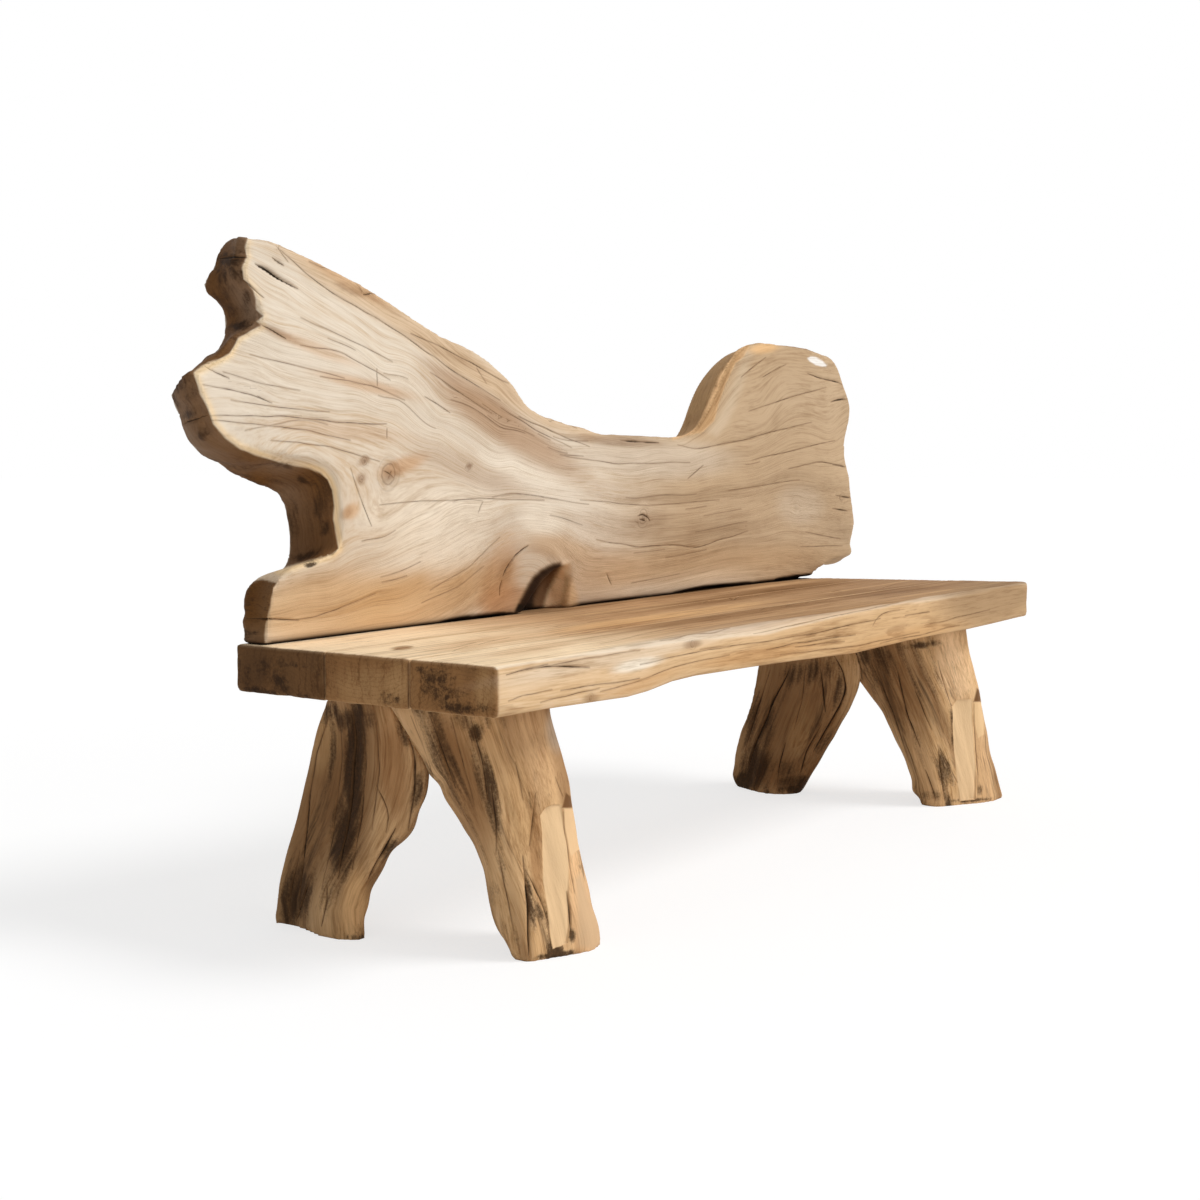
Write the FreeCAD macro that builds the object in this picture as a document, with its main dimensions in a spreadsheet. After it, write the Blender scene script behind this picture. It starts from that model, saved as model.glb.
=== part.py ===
import FreeCAD, Part
import math
import os
import Sketcher
from FreeCAD import Placement, Rotation, Vector

# Rustic log bench: three thick boards on two pairs of splayed log legs, and a slab backrest.
# Millimetres. +Z is up, -Y is the front, +X is the right of the front view.
# While it is built, X is 0 at the seat's left end, Y is 0 on its middle line and Z is 0 at the floor.

SIZES = [
    ("seat_height", 430, "floor to the top of the seat"),
    ("seat_length", 1776, "left end to the front right corner"),
    ("seat_thickness", 68, "thickness of the three boards"),
    ("front_board_width", 150, "board under the sitter's knees"),
    ("middle_board_width", 152, "board between the other two"),
    ("rear_board_width", 170, "board that carries the backrest"),
    ("right_end_skew", 200, "how much shorter the rear edge is, because the right end is cut askew"),
    ("board_edge_radius", 7, "worn long edges of the seat"),
    ("board_corner_radius", 14, "worn front right corner of the seat"),
    ("dowel_diameter", 16, "dowels that join the boards edge to edge"),
    ("dowel_length", 100, "half of it in each board"),
    ("dowel_chamfer", 1.5, "lead at both ends of a dowel"),
    ("dowel_radial_gap", 0.1, "glue film round a dowel"),
    ("dowel_end_gap", 2, "room for glue beyond each end of a dowel"),
    ("dowel_end_distance", 230, "from the seat's ends to the nearest dowel"),
    ("left_leg_inset", 152, "from the seat's left end to the middle of the left tenons"),
    ("right_leg_inset", 274, "from the seat's front right corner to the middle of the right tenons"),
    ("leg_width", 165, "breadth of a leg along the bench"),
    ("leg_reach", 262, "from the middle line to the outer side of the rear feet"),
    ("tenon_diameter", 38, "round tenon on top of each leg"),
    ("tenon_length", 48, "height of the tenon"),
    ("tenon_radial_gap", 0.1, "glue film round a tenon"),
    ("tenon_end_gap", 2, "room for glue above a tenon"),
    ("front_tenon_edge_distance", 114, "seat's front edge to the middle of the front tenons"),
    ("rear_tenon_edge_distance", 111, "seat's rear edge to the middle of the rear tenons"),
    ("back_rise", 570, "seat to the highest point of the backrest"),
    ("back_tip_overhang", 150, "how far the backrest's left tip reaches past the seat"),
    ("back_end_overhang", 148, "how far its right end reaches past the seat's rear edge"),
    ("back_thickness", 96, "backrest where it is full"),
    ("back_foot_thickness", 48, "backrest where it stands on the seat"),
    ("back_edge_round", 10, "how far the long edges are worn back"),
    ("cavity_depth", 24, "rotted hollow, measured from the foot's front side"),
    ("screw_diameter", 10, "lag screws that hold the backrest"),
    ("screw_length", 120, "under the head"),
    ("screw_tip_length", 12, "pointed end of a lag screw"),
    ("screw_point_radius", 1.2, "blunt point of a lag screw"),
    ("screw_head_height", 7, "hexagon head"),
    ("screw_head_radius", 9.8, "over the corners of the head"),
    ("screw_hole_gap", 0.5, "radial room in the board"),
    ("screw_pilot_gap", 0.1, "radial room in the backrest"),
    ("washer_radius", 14, "washer under a lag screw's head"),
    ("washer_thickness", 2.5, "washer under a lag screw's head"),
    ("counterbore_radius", 16, "recess for washer and head"),
    ("counterbore_depth", 14, "recess for washer and head"),
    ("screw_edge_distance", 24, "seat's rear edge to the lag screws"),
    ("overrun", 20, "how far cutters pass what they cut"),
]

# Backrest outlines as shares of its length from the left tip and of its rise from the seat.
# Front and rear outlines have the same number of points, in the same order.
FRONT_OUTLINE_SHARES = {
    "left_lower": [
        (0.085, 0.000), (0.086, 0.105), (0.089, 0.151), (0.105, 0.189), (0.126, 0.207),
        (0.145, 0.239), (0.141, 0.319), (0.133, 0.407), (0.109, 0.440), (0.076, 0.456),
        (0.045, 0.484), (0.023, 0.519), (0.010, 0.586), (0.000, 0.663),
    ],
    "left_upper": [
        (0.000, 0.663), (0.031, 0.711), (0.047, 0.758), (0.067, 0.804), (0.062, 0.847),
        (0.050, 0.900), (0.053, 0.944), (0.054, 0.991),
    ],
    "top": [
        (0.054, 0.991), (0.089, 0.988), (0.158, 0.923), (0.221, 0.854), (0.288, 0.781),
        (0.337, 0.737), (0.367, 0.675), (0.395, 0.611), (0.442, 0.565), (0.531, 0.523),
        (0.620, 0.512), (0.673, 0.532), (0.703, 0.605), (0.727, 0.702), (0.751, 0.784),
        (0.780, 0.828), (0.834, 0.839), (0.890, 0.826), (0.940, 0.804),
    ],
    "right": [
        (0.940, 0.804), (0.975, 0.758), (0.989, 0.693), (1.000, 0.623), (0.994, 0.535),
        (0.987, 0.474), (0.990, 0.377), (0.993, 0.281), (0.993, 0.193), (0.994, 0.105),
        (0.994, 0.063), (0.959, 0.054), (0.930, 0.000),
    ],
}
REAR_OUTLINE_SHARES = {
    "left_lower": [
        (0.084, 0.000), (0.090, 0.105), (0.094, 0.154), (0.110, 0.172), (0.131, 0.189),
        (0.138, 0.232), (0.135, 0.319), (0.124, 0.372), (0.104, 0.396), (0.077, 0.432),
        (0.054, 0.463), (0.035, 0.514), (0.022, 0.582), (0.019, 0.623),
    ],
    "left_upper": [
        (0.019, 0.623), (0.044, 0.689), (0.068, 0.749), (0.074, 0.798), (0.063, 0.847),
        (0.054, 0.879), (0.062, 0.933), (0.080, 1.000),
    ],
    "top": [
        (0.080, 1.000), (0.105, 0.972), (0.158, 0.918), (0.221, 0.849), (0.288, 0.774),
        (0.337, 0.730), (0.367, 0.668), (0.395, 0.604), (0.442, 0.561), (0.531, 0.523),
        (0.631, 0.512), (0.696, 0.523), (0.717, 0.600), (0.745, 0.700), (0.771, 0.767),
        (0.797, 0.807), (0.842, 0.835), (0.892, 0.837), (0.936, 0.800),
    ],
    "right": [
        (0.936, 0.800), (0.967, 0.754), (0.981, 0.691), (0.991, 0.623), (0.986, 0.535),
        (0.982, 0.474), (0.987, 0.377), (0.991, 0.281), (0.993, 0.193), (0.988, 0.105),
        (0.984, 0.072), (0.951, 0.061), (0.924, 0.000),
    ],
}
EDGE_NAMES = ["left_lower", "left_upper", "top", "right"]

# Sections from the rear side to the front: share of the thickness, share of the way from the
# rear outline to the front outline, share of the edge round by which the outline is drawn in.
BACK_SECTION_SHARES = [(0.00, 0.0, 0.8), (0.12, 0.0, 0.0), (0.70, 1.0, 0.0), (1.15, 1.0, 2.4)]

# Front surface of the backrest: for each place along it, how much of the swell from the foot's
# thickness to the full thickness is reached at each of these heights.
RELIEF_HEIGHT_SHARES = [0.0, 0.07, 0.16, 0.25, 0.37, 0.54, 0.75, 1.03]
RELIEF_SHARES = [
    (-0.015, [0.00, 0.08, 0.33, 0.79, 0.88, 0.88, 0.79, 0.67]),
    (0.085, [0.00, 0.08, 0.29, 0.71, 0.88, 0.88, 0.75, 0.63]),
    (0.135, [0.00, 0.12, 0.42, 0.79, 0.96, 0.96, 0.75, 0.58]),
    (0.230, [0.00, 0.12, 0.33, 0.58, 0.79, 0.88, 0.67, 0.50]),
    (0.340, [0.04, 0.25, 0.58, 0.79, 0.88, 0.79, 0.58, 0.42]),
    (0.417, [0.08, 0.38, 0.79, 1.08, 1.00, 0.71, 0.50, 0.38]),
    (0.500, [0.04, 0.29, 0.63, 0.83, 0.83, 0.63, 0.46, 0.38]),
    (0.630, [0.00, 0.17, 0.42, 0.63, 0.71, 0.58, 0.46, 0.33]),
    (0.790, [0.00, 0.12, 0.38, 0.58, 0.71, 0.75, 0.67, 0.54]),
    (0.930, [0.30, 0.60, 0.70, 0.70, 0.75, 0.75, 0.71, 0.58]),
    (1.015, [0.50, 0.70, 0.75, 0.75, 0.75, 0.75, 0.71, 0.58]),
]

# Mouth of the hollow at the backrest's foot, and how much of it is left at the bottom of the hollow.
CAVITY_MOUTH_SHARES = [
    (0.391, 0.000), (0.397, 0.044), (0.415, 0.114), (0.441, 0.161), (0.463, 0.158),
    (0.476, 0.088), (0.488, 0.000),
]
CAVITY_BOTTOM_SHARE = 0.6

# Legs from the floor to the underside of the seat. Each section has its height
# as a share of the leg's height, then its points: along the bench from the tenon as a share of
# the leg's width, and across the bench from the middle line as a share of the leg's reach.
LEG_SHARES = {
    "front_left": [
        (0.000, [(-0.04, -0.580), (-0.04, -0.664), (0.15, -0.729), (0.60, -0.817),
                 (0.88, -0.718), (0.91, -0.496), (0.58, -0.286), (0.12, -0.534)]),
        (0.166, [(-0.09, -0.462), (-0.08, -0.656), (0.13, -0.725), (0.62, -0.790),
                 (0.80, -0.698), (0.82, -0.477), (0.52, -0.275), (0.12, -0.405)]),
        (0.359, [(-0.09, -0.393), (-0.09, -0.653), (0.11, -0.714), (0.55, -0.740),
                 (0.70, -0.649), (0.73, -0.420), (0.48, -0.172), (0.12, -0.305)]),
        (0.566, [(-0.09, -0.183), (-0.09, -0.656), (0.06, -0.702), (0.47, -0.718),
                 (0.64, -0.611), (0.67, -0.324), (0.45, -0.019), (0.12, -0.092)]),
        (0.746, [(-0.09, 0.038), (-0.09, -0.611), (0.03, -0.660), (0.48, -0.656),
                 (0.62, -0.542), (0.62, -0.191), (0.42, 0.153), (0.12, 0.115)]),
        (1.000, [(-0.09, 0.336), (-0.09, -0.527), (0.05, -0.588), (0.46, -0.584),
                 (0.62, -0.458), (0.63, 0.000), (0.44, 0.351), (0.12, 0.374)]),
    ],
    "rear_left": [
        (0.000, [(-0.33, 0.973), (-0.38, 0.706), (-0.41, 0.424), (-0.30, 0.351),
                 (-0.15, 0.427), (0.21, 0.656), (0.25, 0.916), (0.00, 1.000)]),
        (0.276, [(-0.34, 0.885), (-0.38, 0.630), (-0.38, 0.363), (-0.21, 0.275),
                 (-0.03, 0.351), (0.24, 0.534), (0.27, 0.821), (0.00, 0.935)]),
        (0.414, [(-0.35, 0.802), (-0.38, 0.515), (-0.36, 0.229), (-0.24, 0.099),
                 (0.00, 0.183), (0.27, 0.363), (0.30, 0.725), (0.00, 0.859)]),
        (0.649, [(-0.35, 0.687), (-0.36, 0.401), (-0.35, 0.115), (-0.21, -0.076),
                 (0.00, 0.038), (0.27, 0.210), (0.30, 0.630), (0.00, 0.756)]),
        (1.000, [(-0.35, 0.496), (-0.36, 0.374), (-0.35, 0.248), (-0.24, 0.160),
                 (0.00, 0.229), (0.27, 0.344), (0.30, 0.573), (0.00, 0.634)]),
    ],
    "front_right": [
        (0.000, [(-0.08, -0.534), (-0.08, -0.634), (0.15, -0.733), (0.61, -0.885),
                 (1.09, -0.836), (1.02, -0.573), (0.61, -0.363), (0.13, -0.481)]),
        (0.166, [(-0.09, -0.439), (-0.09, -0.641), (0.13, -0.733), (0.61, -0.847),
                 (1.03, -0.782), (0.97, -0.534), (0.55, -0.324), (0.13, -0.389)]),
        (0.359, [(-0.09, -0.305), (-0.09, -0.630), (0.09, -0.718), (0.58, -0.809),
                 (0.94, -0.744), (0.91, -0.458), (0.52, -0.191), (0.12, -0.252)]),
        (0.566, [(-0.09, -0.099), (-0.09, -0.611), (0.06, -0.695), (0.58, -0.782),
                 (0.79, -0.706), (0.79, -0.344), (0.45, -0.019), (0.12, -0.038)]),
        (0.746, [(-0.09, 0.115), (-0.09, -0.573), (0.03, -0.641), (0.45, -0.763),
                 (0.70, -0.668), (0.70, -0.229), (0.42, 0.153), (0.12, 0.168)]),
        (1.000, [(-0.09, 0.363), (-0.09, -0.534), (0.03, -0.630), (0.30, -0.718),
                 (0.61, -0.630), (0.68, -0.076), (0.44, 0.344), (0.12, 0.389)]),
    ],
    "rear_right": [
        (0.000, [(-0.33, 0.985), (-0.45, 0.821), (-0.51, 0.641), (-0.30, 0.481),
                 (-0.03, 0.523), (0.23, 0.630), (0.27, 0.897), (0.00, 1.000)]),
        (0.276, [(-0.34, 0.969), (-0.39, 0.725), (-0.40, 0.458), (-0.23, 0.237),
                 (0.00, 0.313), (0.24, 0.420), (0.29, 0.821), (0.00, 0.962)]),
        (0.414, [(-0.34, 0.908), (-0.39, 0.611), (-0.40, 0.305), (-0.24, 0.122),
                 (0.03, 0.214), (0.27, 0.324), (0.30, 0.782), (0.00, 0.908)]),
        (0.649, [(-0.34, 0.817), (-0.38, 0.477), (-0.38, 0.115), (-0.24, -0.031),
                 (0.00, 0.053), (0.27, 0.153), (0.30, 0.668), (0.00, 0.802)]),
        (1.000, [(-0.34, 0.695), (-0.36, 0.458), (-0.35, 0.252), (-0.24, 0.172),
                 (0.00, 0.237), (0.27, 0.351), (0.30, 0.630), (0.00, 0.725)]),
    ],
}

# Lag screws along the backrest, clear of the hollow.
SCREW_PLACE_SHARES = [0.115, 0.295, 0.580, 0.850]
DOWELS_PER_SEAM = 5

doc = FreeCAD.newDocument("log_bench")
sheet = doc.addObject("Spreadsheet::Sheet", "Sizes")
for row, (alias, value, meaning) in enumerate(SIZES, start=1):
    sheet.set(f"A{row}", alias)
    sheet.set(f"B{row}", str(value))
    sheet.set(f"C{row}", meaning)
    sheet.setAlias(f"B{row}", alias)
doc.recompute()


def size(alias):
    return float(sheet.get(alias))


SEAT_WIDTH = "(Sizes.front_board_width + Sizes.middle_board_width + Sizes.rear_board_width)"
REAR_EDGE_LENGTH = "(Sizes.seat_length - Sizes.right_end_skew)"
BACK_LENGTH = f"(Sizes.back_tip_overhang + {REAR_EDGE_LENGTH} + Sizes.back_end_overhang)"
seat_width = size("front_board_width") + size("middle_board_width") + size("rear_board_width")
seat_front = -seat_width / 2
seat_rear = seat_width / 2
front_seam = seat_front + size("front_board_width")
rear_seam = seat_rear - size("rear_board_width")
seat_underside = size("seat_height") - size("seat_thickness")
back_left = -size("back_tip_overhang")
back_right = size("seat_length") - size("right_end_skew") + size("back_end_overhang")
back_length = back_right - back_left
parts = []


# Helpers for bodies and sketches

def new_body(label):
    body = doc.addObject("PartDesign::Body", label)
    parts.append(body)
    return body


def place(part, x, y, z, rotation=Rotation()):
    part.Placement = Placement(Vector(x, y, z), rotation)


def origin_plane(body, role):
    return next(item for item in body.Origin.OriginFeatures if item.Role == role)


def new_sketch(body, name, role, offset=None):
    sketch = body.newObject("Sketcher::SketchObject", name)
    sketch.AttachmentSupport = [(origin_plane(body, role), "")]
    sketch.MapMode = "FlatFace"
    if offset:
        sketch.setExpression("AttachmentOffset.Base.z", offset)
    return sketch


def constrain(sketch, name, constraint, expression):
    index = sketch.addConstraint(constraint)
    sketch.renameConstraint(index, name)
    sketch.setExpression("Constraints." + name, expression)


def circle_sketch(body, name, role, radius, centres, offset=None):
    """Circles of one radius; each centre is a pair of expressions measured from the origin."""
    sketch = new_sketch(body, name, role, offset)
    for number, (across, up) in enumerate(centres, start=1):
        circle = sketch.addGeometry(Part.Circle(Vector(number, number, 0), Vector(0, 0, 1), 1))
        constrain(sketch, f"radius{number}", Sketcher.Constraint("Radius", circle, 1), radius)
        constrain(sketch, f"across{number}", Sketcher.Constraint("DistanceX", -1, 1, circle, 3, 1), across)
        constrain(sketch, f"up{number}", Sketcher.Constraint("DistanceY", -1, 1, circle, 3, 1), up)
    return sketch


def pocket(body, sketch, depth, reversed_direction):
    doc.recompute()
    before = body.Shape.Volume
    cut = body.newObject("PartDesign::Pocket", sketch.Name + "_cut")
    cut.Profile = sketch
    cut.Reversed = reversed_direction
    cut.setExpression("Length", depth)
    doc.recompute()
    if body.Shape.Volume >= before:
        raise RuntimeError(f"{cut.Name} removes nothing")
    return cut


# Seat boards

def length_at(from_front):
    """Length of the seat at a distance from its front edge, as an expression."""
    return f"Sizes.seat_length - Sizes.right_end_skew * ({from_front}) / {SEAT_WIDTH}"


def straight_edges(shape, keep):
    """Names of the straight edges whose middle and direction satisfy keep."""
    names = []
    for number, edge in enumerate(shape.Edges, start=1):
        if edge.Curve.TypeId == "Part::GeomLine":
            middle = edge.valueAt((edge.FirstParameter + edge.LastParameter) / 2)
            direction = edge.tangentAt(edge.FirstParameter)
            if keep(middle, direction):
                names.append(f"Edge{number}")
    return names


def round_edges(body, name, keep, radius):
    base = body.Tip
    edges = straight_edges(base.Shape, keep)
    if not edges:
        raise RuntimeError(f"{name} finds no edge")
    fillet = body.newObject("PartDesign::Fillet", name)
    fillet.Base = (base, edges)
    fillet.setExpression("Radius", radius)
    doc.recompute()


def seat_board(label, width, from_front):
    """A board with its own front left lower corner at the body's origin."""
    body = new_body(label)
    outline = new_sketch(body, label + "_outline", "XY_Plane")
    front_length = length_at(from_front)
    rear_length = length_at(from_front + " + " + width)
    long_side = size("seat_length")
    short_side = long_side - size("right_end_skew")
    corners = [
        Vector(0, 0, 0),
        Vector(long_side, 0, 0),
        Vector(short_side, size("rear_board_width"), 0),
        Vector(0, size("rear_board_width"), 0),
    ]
    for start, end in zip(corners, corners[1:] + corners[:1]):
        outline.addGeometry(Part.LineSegment(start, end))
    for side in range(4):
        outline.addConstraint(Sketcher.Constraint("Coincident", side, 2, (side + 1) % 4, 1))
    outline.addConstraint(Sketcher.Constraint("Coincident", 0, 1, -1, 1))
    outline.addConstraint(Sketcher.Constraint("Horizontal", 0))
    outline.addConstraint(Sketcher.Constraint("Horizontal", 2))
    outline.addConstraint(Sketcher.Constraint("Vertical", 3))
    constrain(outline, "front_length", Sketcher.Constraint("DistanceX", 0, 1, 0, 2, 1), front_length)
    constrain(outline, "rear_length", Sketcher.Constraint("DistanceX", 2, 2, 2, 1, 1), rear_length)
    constrain(outline, "width", Sketcher.Constraint("DistanceY", 3, 2, 3, 1, 1), width)
    doc.recompute()
    plank = body.newObject("PartDesign::Pad", label + "_plank")
    plank.Profile = outline
    plank.setExpression("Length", "Sizes.seat_thickness")
    doc.recompute()
    return body


def dowel_place(number):
    """Distance of a dowel from the seat's left end, as an expression and as a length."""
    step_share = number / (DOWELS_PER_SEAM - 1)
    usable = size("seat_length") - size("right_end_skew") - 2 * size("dowel_end_distance")
    stretch = f"({REAR_EDGE_LENGTH} - 2 * Sizes.dowel_end_distance)"
    expression = f"Sizes.dowel_end_distance + {step_share} * {stretch}"
    return expression, size("dowel_end_distance") + step_share * usable


def bore_for_dowels(body, name, rear_side, width):
    radius = "Sizes.dowel_diameter / 2 + Sizes.dowel_radial_gap"
    centres = [(dowel_place(number)[0], "Sizes.seat_thickness / 2") for number in range(DOWELS_PER_SEAM)]
    offset = f"-({width})" if rear_side else None
    sketch = circle_sketch(body, name, "XZ_Plane", radius, centres, offset)
    pocket(body, sketch, "Sizes.dowel_length / 2 + Sizes.dowel_end_gap", rear_side)


def bore_for_tenons(body, name, across):
    radius = "Sizes.tenon_diameter / 2 + Sizes.tenon_radial_gap"
    centres = [("Sizes.left_leg_inset", across), ("Sizes.seat_length - Sizes.right_leg_inset", across)]
    sketch = circle_sketch(body, name, "XY_Plane", radius, centres)
    pocket(body, sketch, "Sizes.tenon_length + Sizes.tenon_end_gap", True)


def bore_for_screws(body):
    across = "Sizes.rear_board_width - Sizes.screw_edge_distance"
    centres = [
        (f"{share} * {BACK_LENGTH} - Sizes.back_tip_overhang", across)
        for share in SCREW_PLACE_SHARES
    ]
    radius = "Sizes.screw_diameter / 2 + Sizes.screw_hole_gap"
    through = circle_sketch(body, "screw_holes", "XY_Plane", radius, centres)
    pocket(body, through, "Sizes.seat_thickness + Sizes.overrun", True)
    recess = circle_sketch(body, "screw_recesses", "XY_Plane", "Sizes.counterbore_radius", centres)
    pocket(body, recess, "Sizes.counterbore_depth", True)


def along_x(direction):
    return abs(direction.x) > abs(direction.y) + abs(direction.z)


def upright(direction):
    return abs(direction.z) > abs(direction.x) + abs(direction.y)


half_thickness = size("seat_thickness") / 2

front_board = seat_board("seat_board_front", "Sizes.front_board_width", "0")
round_edges(
    front_board, "front_corner",
    lambda middle, direction: upright(direction) and middle.x > half_thickness and middle.y < half_thickness,
    "Sizes.board_corner_radius",
)
round_edges(
    front_board, "front_long_edges",
    lambda middle, direction: along_x(direction) and middle.y < half_thickness,
    "Sizes.board_edge_radius",
)
bore_for_dowels(front_board, "front_board_dowel_holes", True, "Sizes.front_board_width")
bore_for_tenons(front_board, "front_mortises", "Sizes.front_tenon_edge_distance")
place(front_board, 0, seat_front, seat_underside)

middle_board = seat_board("seat_board_middle", "Sizes.middle_board_width", "Sizes.front_board_width")
bore_for_dowels(middle_board, "middle_board_front_dowel_holes", False, "Sizes.middle_board_width")
bore_for_dowels(middle_board, "middle_board_rear_dowel_holes", True, "Sizes.middle_board_width")
place(middle_board, 0, front_seam, seat_underside)

rear_board = seat_board(
    "seat_board_rear", "Sizes.rear_board_width", "Sizes.front_board_width + Sizes.middle_board_width"
)
round_edges(
    rear_board, "rear_long_edge",
    lambda middle, direction: along_x(direction) and middle.y > half_thickness and middle.z < half_thickness,
    "Sizes.board_edge_radius",
)
bore_for_dowels(rear_board, "rear_board_dowel_holes", False, "Sizes.rear_board_width")
bore_for_tenons(rear_board, "rear_mortises", "Sizes.rear_board_width - Sizes.rear_tenon_edge_distance")
bore_for_screws(rear_board)
place(rear_board, 0, rear_seam, seat_underside)


# Dowels between the boards

def dowel(label, x, seam):
    body = new_body(label)
    pin = body.newObject("PartDesign::AdditiveCylinder", label + "_pin")
    pin.setExpression("Radius", "Sizes.dowel_diameter / 2")
    pin.setExpression("Height", "Sizes.dowel_length")
    doc.recompute()
    rims = [
        f"Edge{number}" for number, edge in enumerate(pin.Shape.Edges, start=1)
        if edge.Curve.TypeId == "Part::GeomCircle"
    ]
    lead = body.newObject("PartDesign::Chamfer", label + "_lead")
    lead.Base = (pin, rims)
    lead.setExpression("Size", "Sizes.dowel_chamfer")
    level = seat_underside + size("seat_thickness") / 2
    place(body, x, seam + size("dowel_length") / 2, level, Rotation(Vector(1, 0, 0), 90))


for seam_name, seam in (("front", front_seam), ("rear", rear_seam)):
    for number in range(DOWELS_PER_SEAM):
        dowel(f"{seam_name}_seam_dowel_{number + 1}", dowel_place(number)[1], seam)


# Lag screws and washers that hold the backrest from below the rear board

def primitive(body, kind, name, expressions, height=None):
    feature = body.newObject("PartDesign::" + kind, name)
    for prop, expression in expressions.items():
        feature.setExpression(prop, expression)
    if height:
        feature.AttachmentSupport = [(origin_plane(body, "XY_Plane"), "")]
        feature.MapMode = "FlatFace"
        feature.setExpression("AttachmentOffset.Base.z", height)
    doc.recompute()
    return feature


def lag_screw(label, x):
    """The body's origin is under the head, where the shank starts."""
    body = new_body(label)
    shank = {"Radius": "Sizes.screw_diameter / 2", "Height": "Sizes.screw_length - Sizes.screw_tip_length"}
    primitive(body, "AdditiveCylinder", label + "_shank", shank)
    tip = {
        "Radius1": "Sizes.screw_diameter / 2",
        "Radius2": "Sizes.screw_point_radius",
        "Height": "Sizes.screw_tip_length",
    }
    primitive(body, "AdditiveCone", label + "_tip", tip, "Sizes.screw_length - Sizes.screw_tip_length")
    head = {"Circumradius": "Sizes.screw_head_radius", "Height": "Sizes.screw_head_height"}
    primitive(body, "AdditivePrism", label + "_head", head, "-Sizes.screw_head_height")
    place(body, x, screw_line, washer_underside)


def washer(label, x):
    body = new_body(label)
    disc = {"Radius": "Sizes.washer_radius", "Height": "Sizes.washer_thickness"}
    primitive(body, "AdditiveCylinder", label + "_disc", disc)
    hole = {"Radius": "Sizes.screw_diameter / 2 + Sizes.screw_pilot_gap", "Height": "Sizes.washer_thickness"}
    primitive(body, "SubtractiveCylinder", label + "_hole", hole)
    place(body, x, screw_line, washer_underside)


screw_line = seat_rear - size("screw_edge_distance")
washer_underside = seat_underside + size("counterbore_depth") - size("washer_thickness")
screw_places = [back_left + share * back_length for share in SCREW_PLACE_SHARES]
for number, x in enumerate(screw_places, start=1):
    lag_screw(f"backrest_screw_{number}", x)
    washer(f"backrest_washer_{number}", x)


# Organic pieces are lofts through curves, made straight from the sheet's sizes

def closed_curve(points):
    """A smooth closed curve, with an edge from each point to the next to keep lofts from twisting."""
    curve = Part.BSplineCurve()
    curve.interpolate(Points=points, PeriodicFlag=True)
    knots = curve.getKnots()
    return Part.Wire([curve.toShape(start, end) for start, end in zip(knots, knots[1:])])


def open_curve(points):
    curve = Part.BSplineCurve()
    curve.interpolate(Points=points)
    return curve.toShape()


def add_shape(label, shape):
    part = doc.addObject("Part::Feature", label)
    part.Shape = shape
    parts.append(part)
    return part


# Legs

def leg_loft(section_shares, x):
    wires = []
    for height_share, points in section_shares:
        height = height_share * seat_underside
        wires.append(closed_curve([
            Vector(x + along * size("leg_width"), across * size("leg_reach"), height)
            for along, across in points
        ]))
    return Part.makeLoft(wires, True, False)


def tenon(x, y):
    return Part.makeCylinder(size("tenon_diameter") / 2, size("tenon_length"), Vector(x, y, seat_underside))


front_tenon_y = seat_front + size("front_tenon_edge_distance")
rear_tenon_y = seat_rear - size("rear_tenon_edge_distance")
for side, x in (
    ("left", size("left_leg_inset")),
    ("right", size("seat_length") - size("right_leg_inset")),
):
    front_leg = leg_loft(LEG_SHARES["front_" + side], x)
    # The rear leg is scribed to the front leg where the two meet under the seat.
    rear_leg = leg_loft(LEG_SHARES["rear_" + side], x).cut(front_leg)
    add_shape("leg_front_" + side, front_leg.fuse(tenon(x, front_tenon_y)))
    add_shape("leg_rear_" + side, rear_leg.fuse(tenon(x, rear_tenon_y)))


# Backrest

def outline_points(way_share, inset):
    """Points of the outline, part of the way from the rear one to the front one, drawn in by inset."""
    names, points = [], []
    for name in EDGE_NAMES:
        pairs = zip(REAR_OUTLINE_SHARES[name], FRONT_OUTLINE_SHARES[name])
        for number, (rear, front) in enumerate(pairs):
            if number or not names:
                names.append(name)
                share_x = rear[0] + (front[0] - rear[0]) * way_share
                share_z = rear[1] + (front[1] - rear[1]) * way_share
                points.append((share_x * back_length, share_z * size("back_rise")))
    moved = []
    for index, (along, up) in enumerate(points):
        before = points[index - 1]
        after = points[(index + 1) % len(points)]
        step = math.hypot(after[0] - before[0], after[1] - before[1])
        inward = ((after[1] - before[1]) / step, -(after[0] - before[0]) / step)
        lift = inward[1] if up else 0
        moved.append((along + inset * inward[0], up + inset * lift))
    edges = []
    first = 0
    for name in EDGE_NAMES:
        last = first + len(FRONT_OUTLINE_SHARES[name]) - 1
        edges.append(moved[first:last + 1])
        first = last
    return edges


def outline_wire(y, way_share, inset):
    edges = []
    for points in outline_points(way_share, inset):
        edges.append(open_curve([
            Vector(back_left + along, y, size("seat_height") + up) for along, up in points
        ]))
    start = edges[-1].valueAt(edges[-1].LastParameter)
    end = edges[0].valueAt(edges[0].FirstParameter)
    return Part.Wire(edges + [Part.makeLine(start, end)])


def backrest_outline_solid():
    wires = []
    for depth_share, way_share, inset_share in BACK_SECTION_SHARES:
        y = seat_rear - depth_share * size("back_thickness")
        wires.append(outline_wire(y, way_share, inset_share * size("back_edge_round")))
    return Part.makeLoft(wires, True, True)


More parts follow.
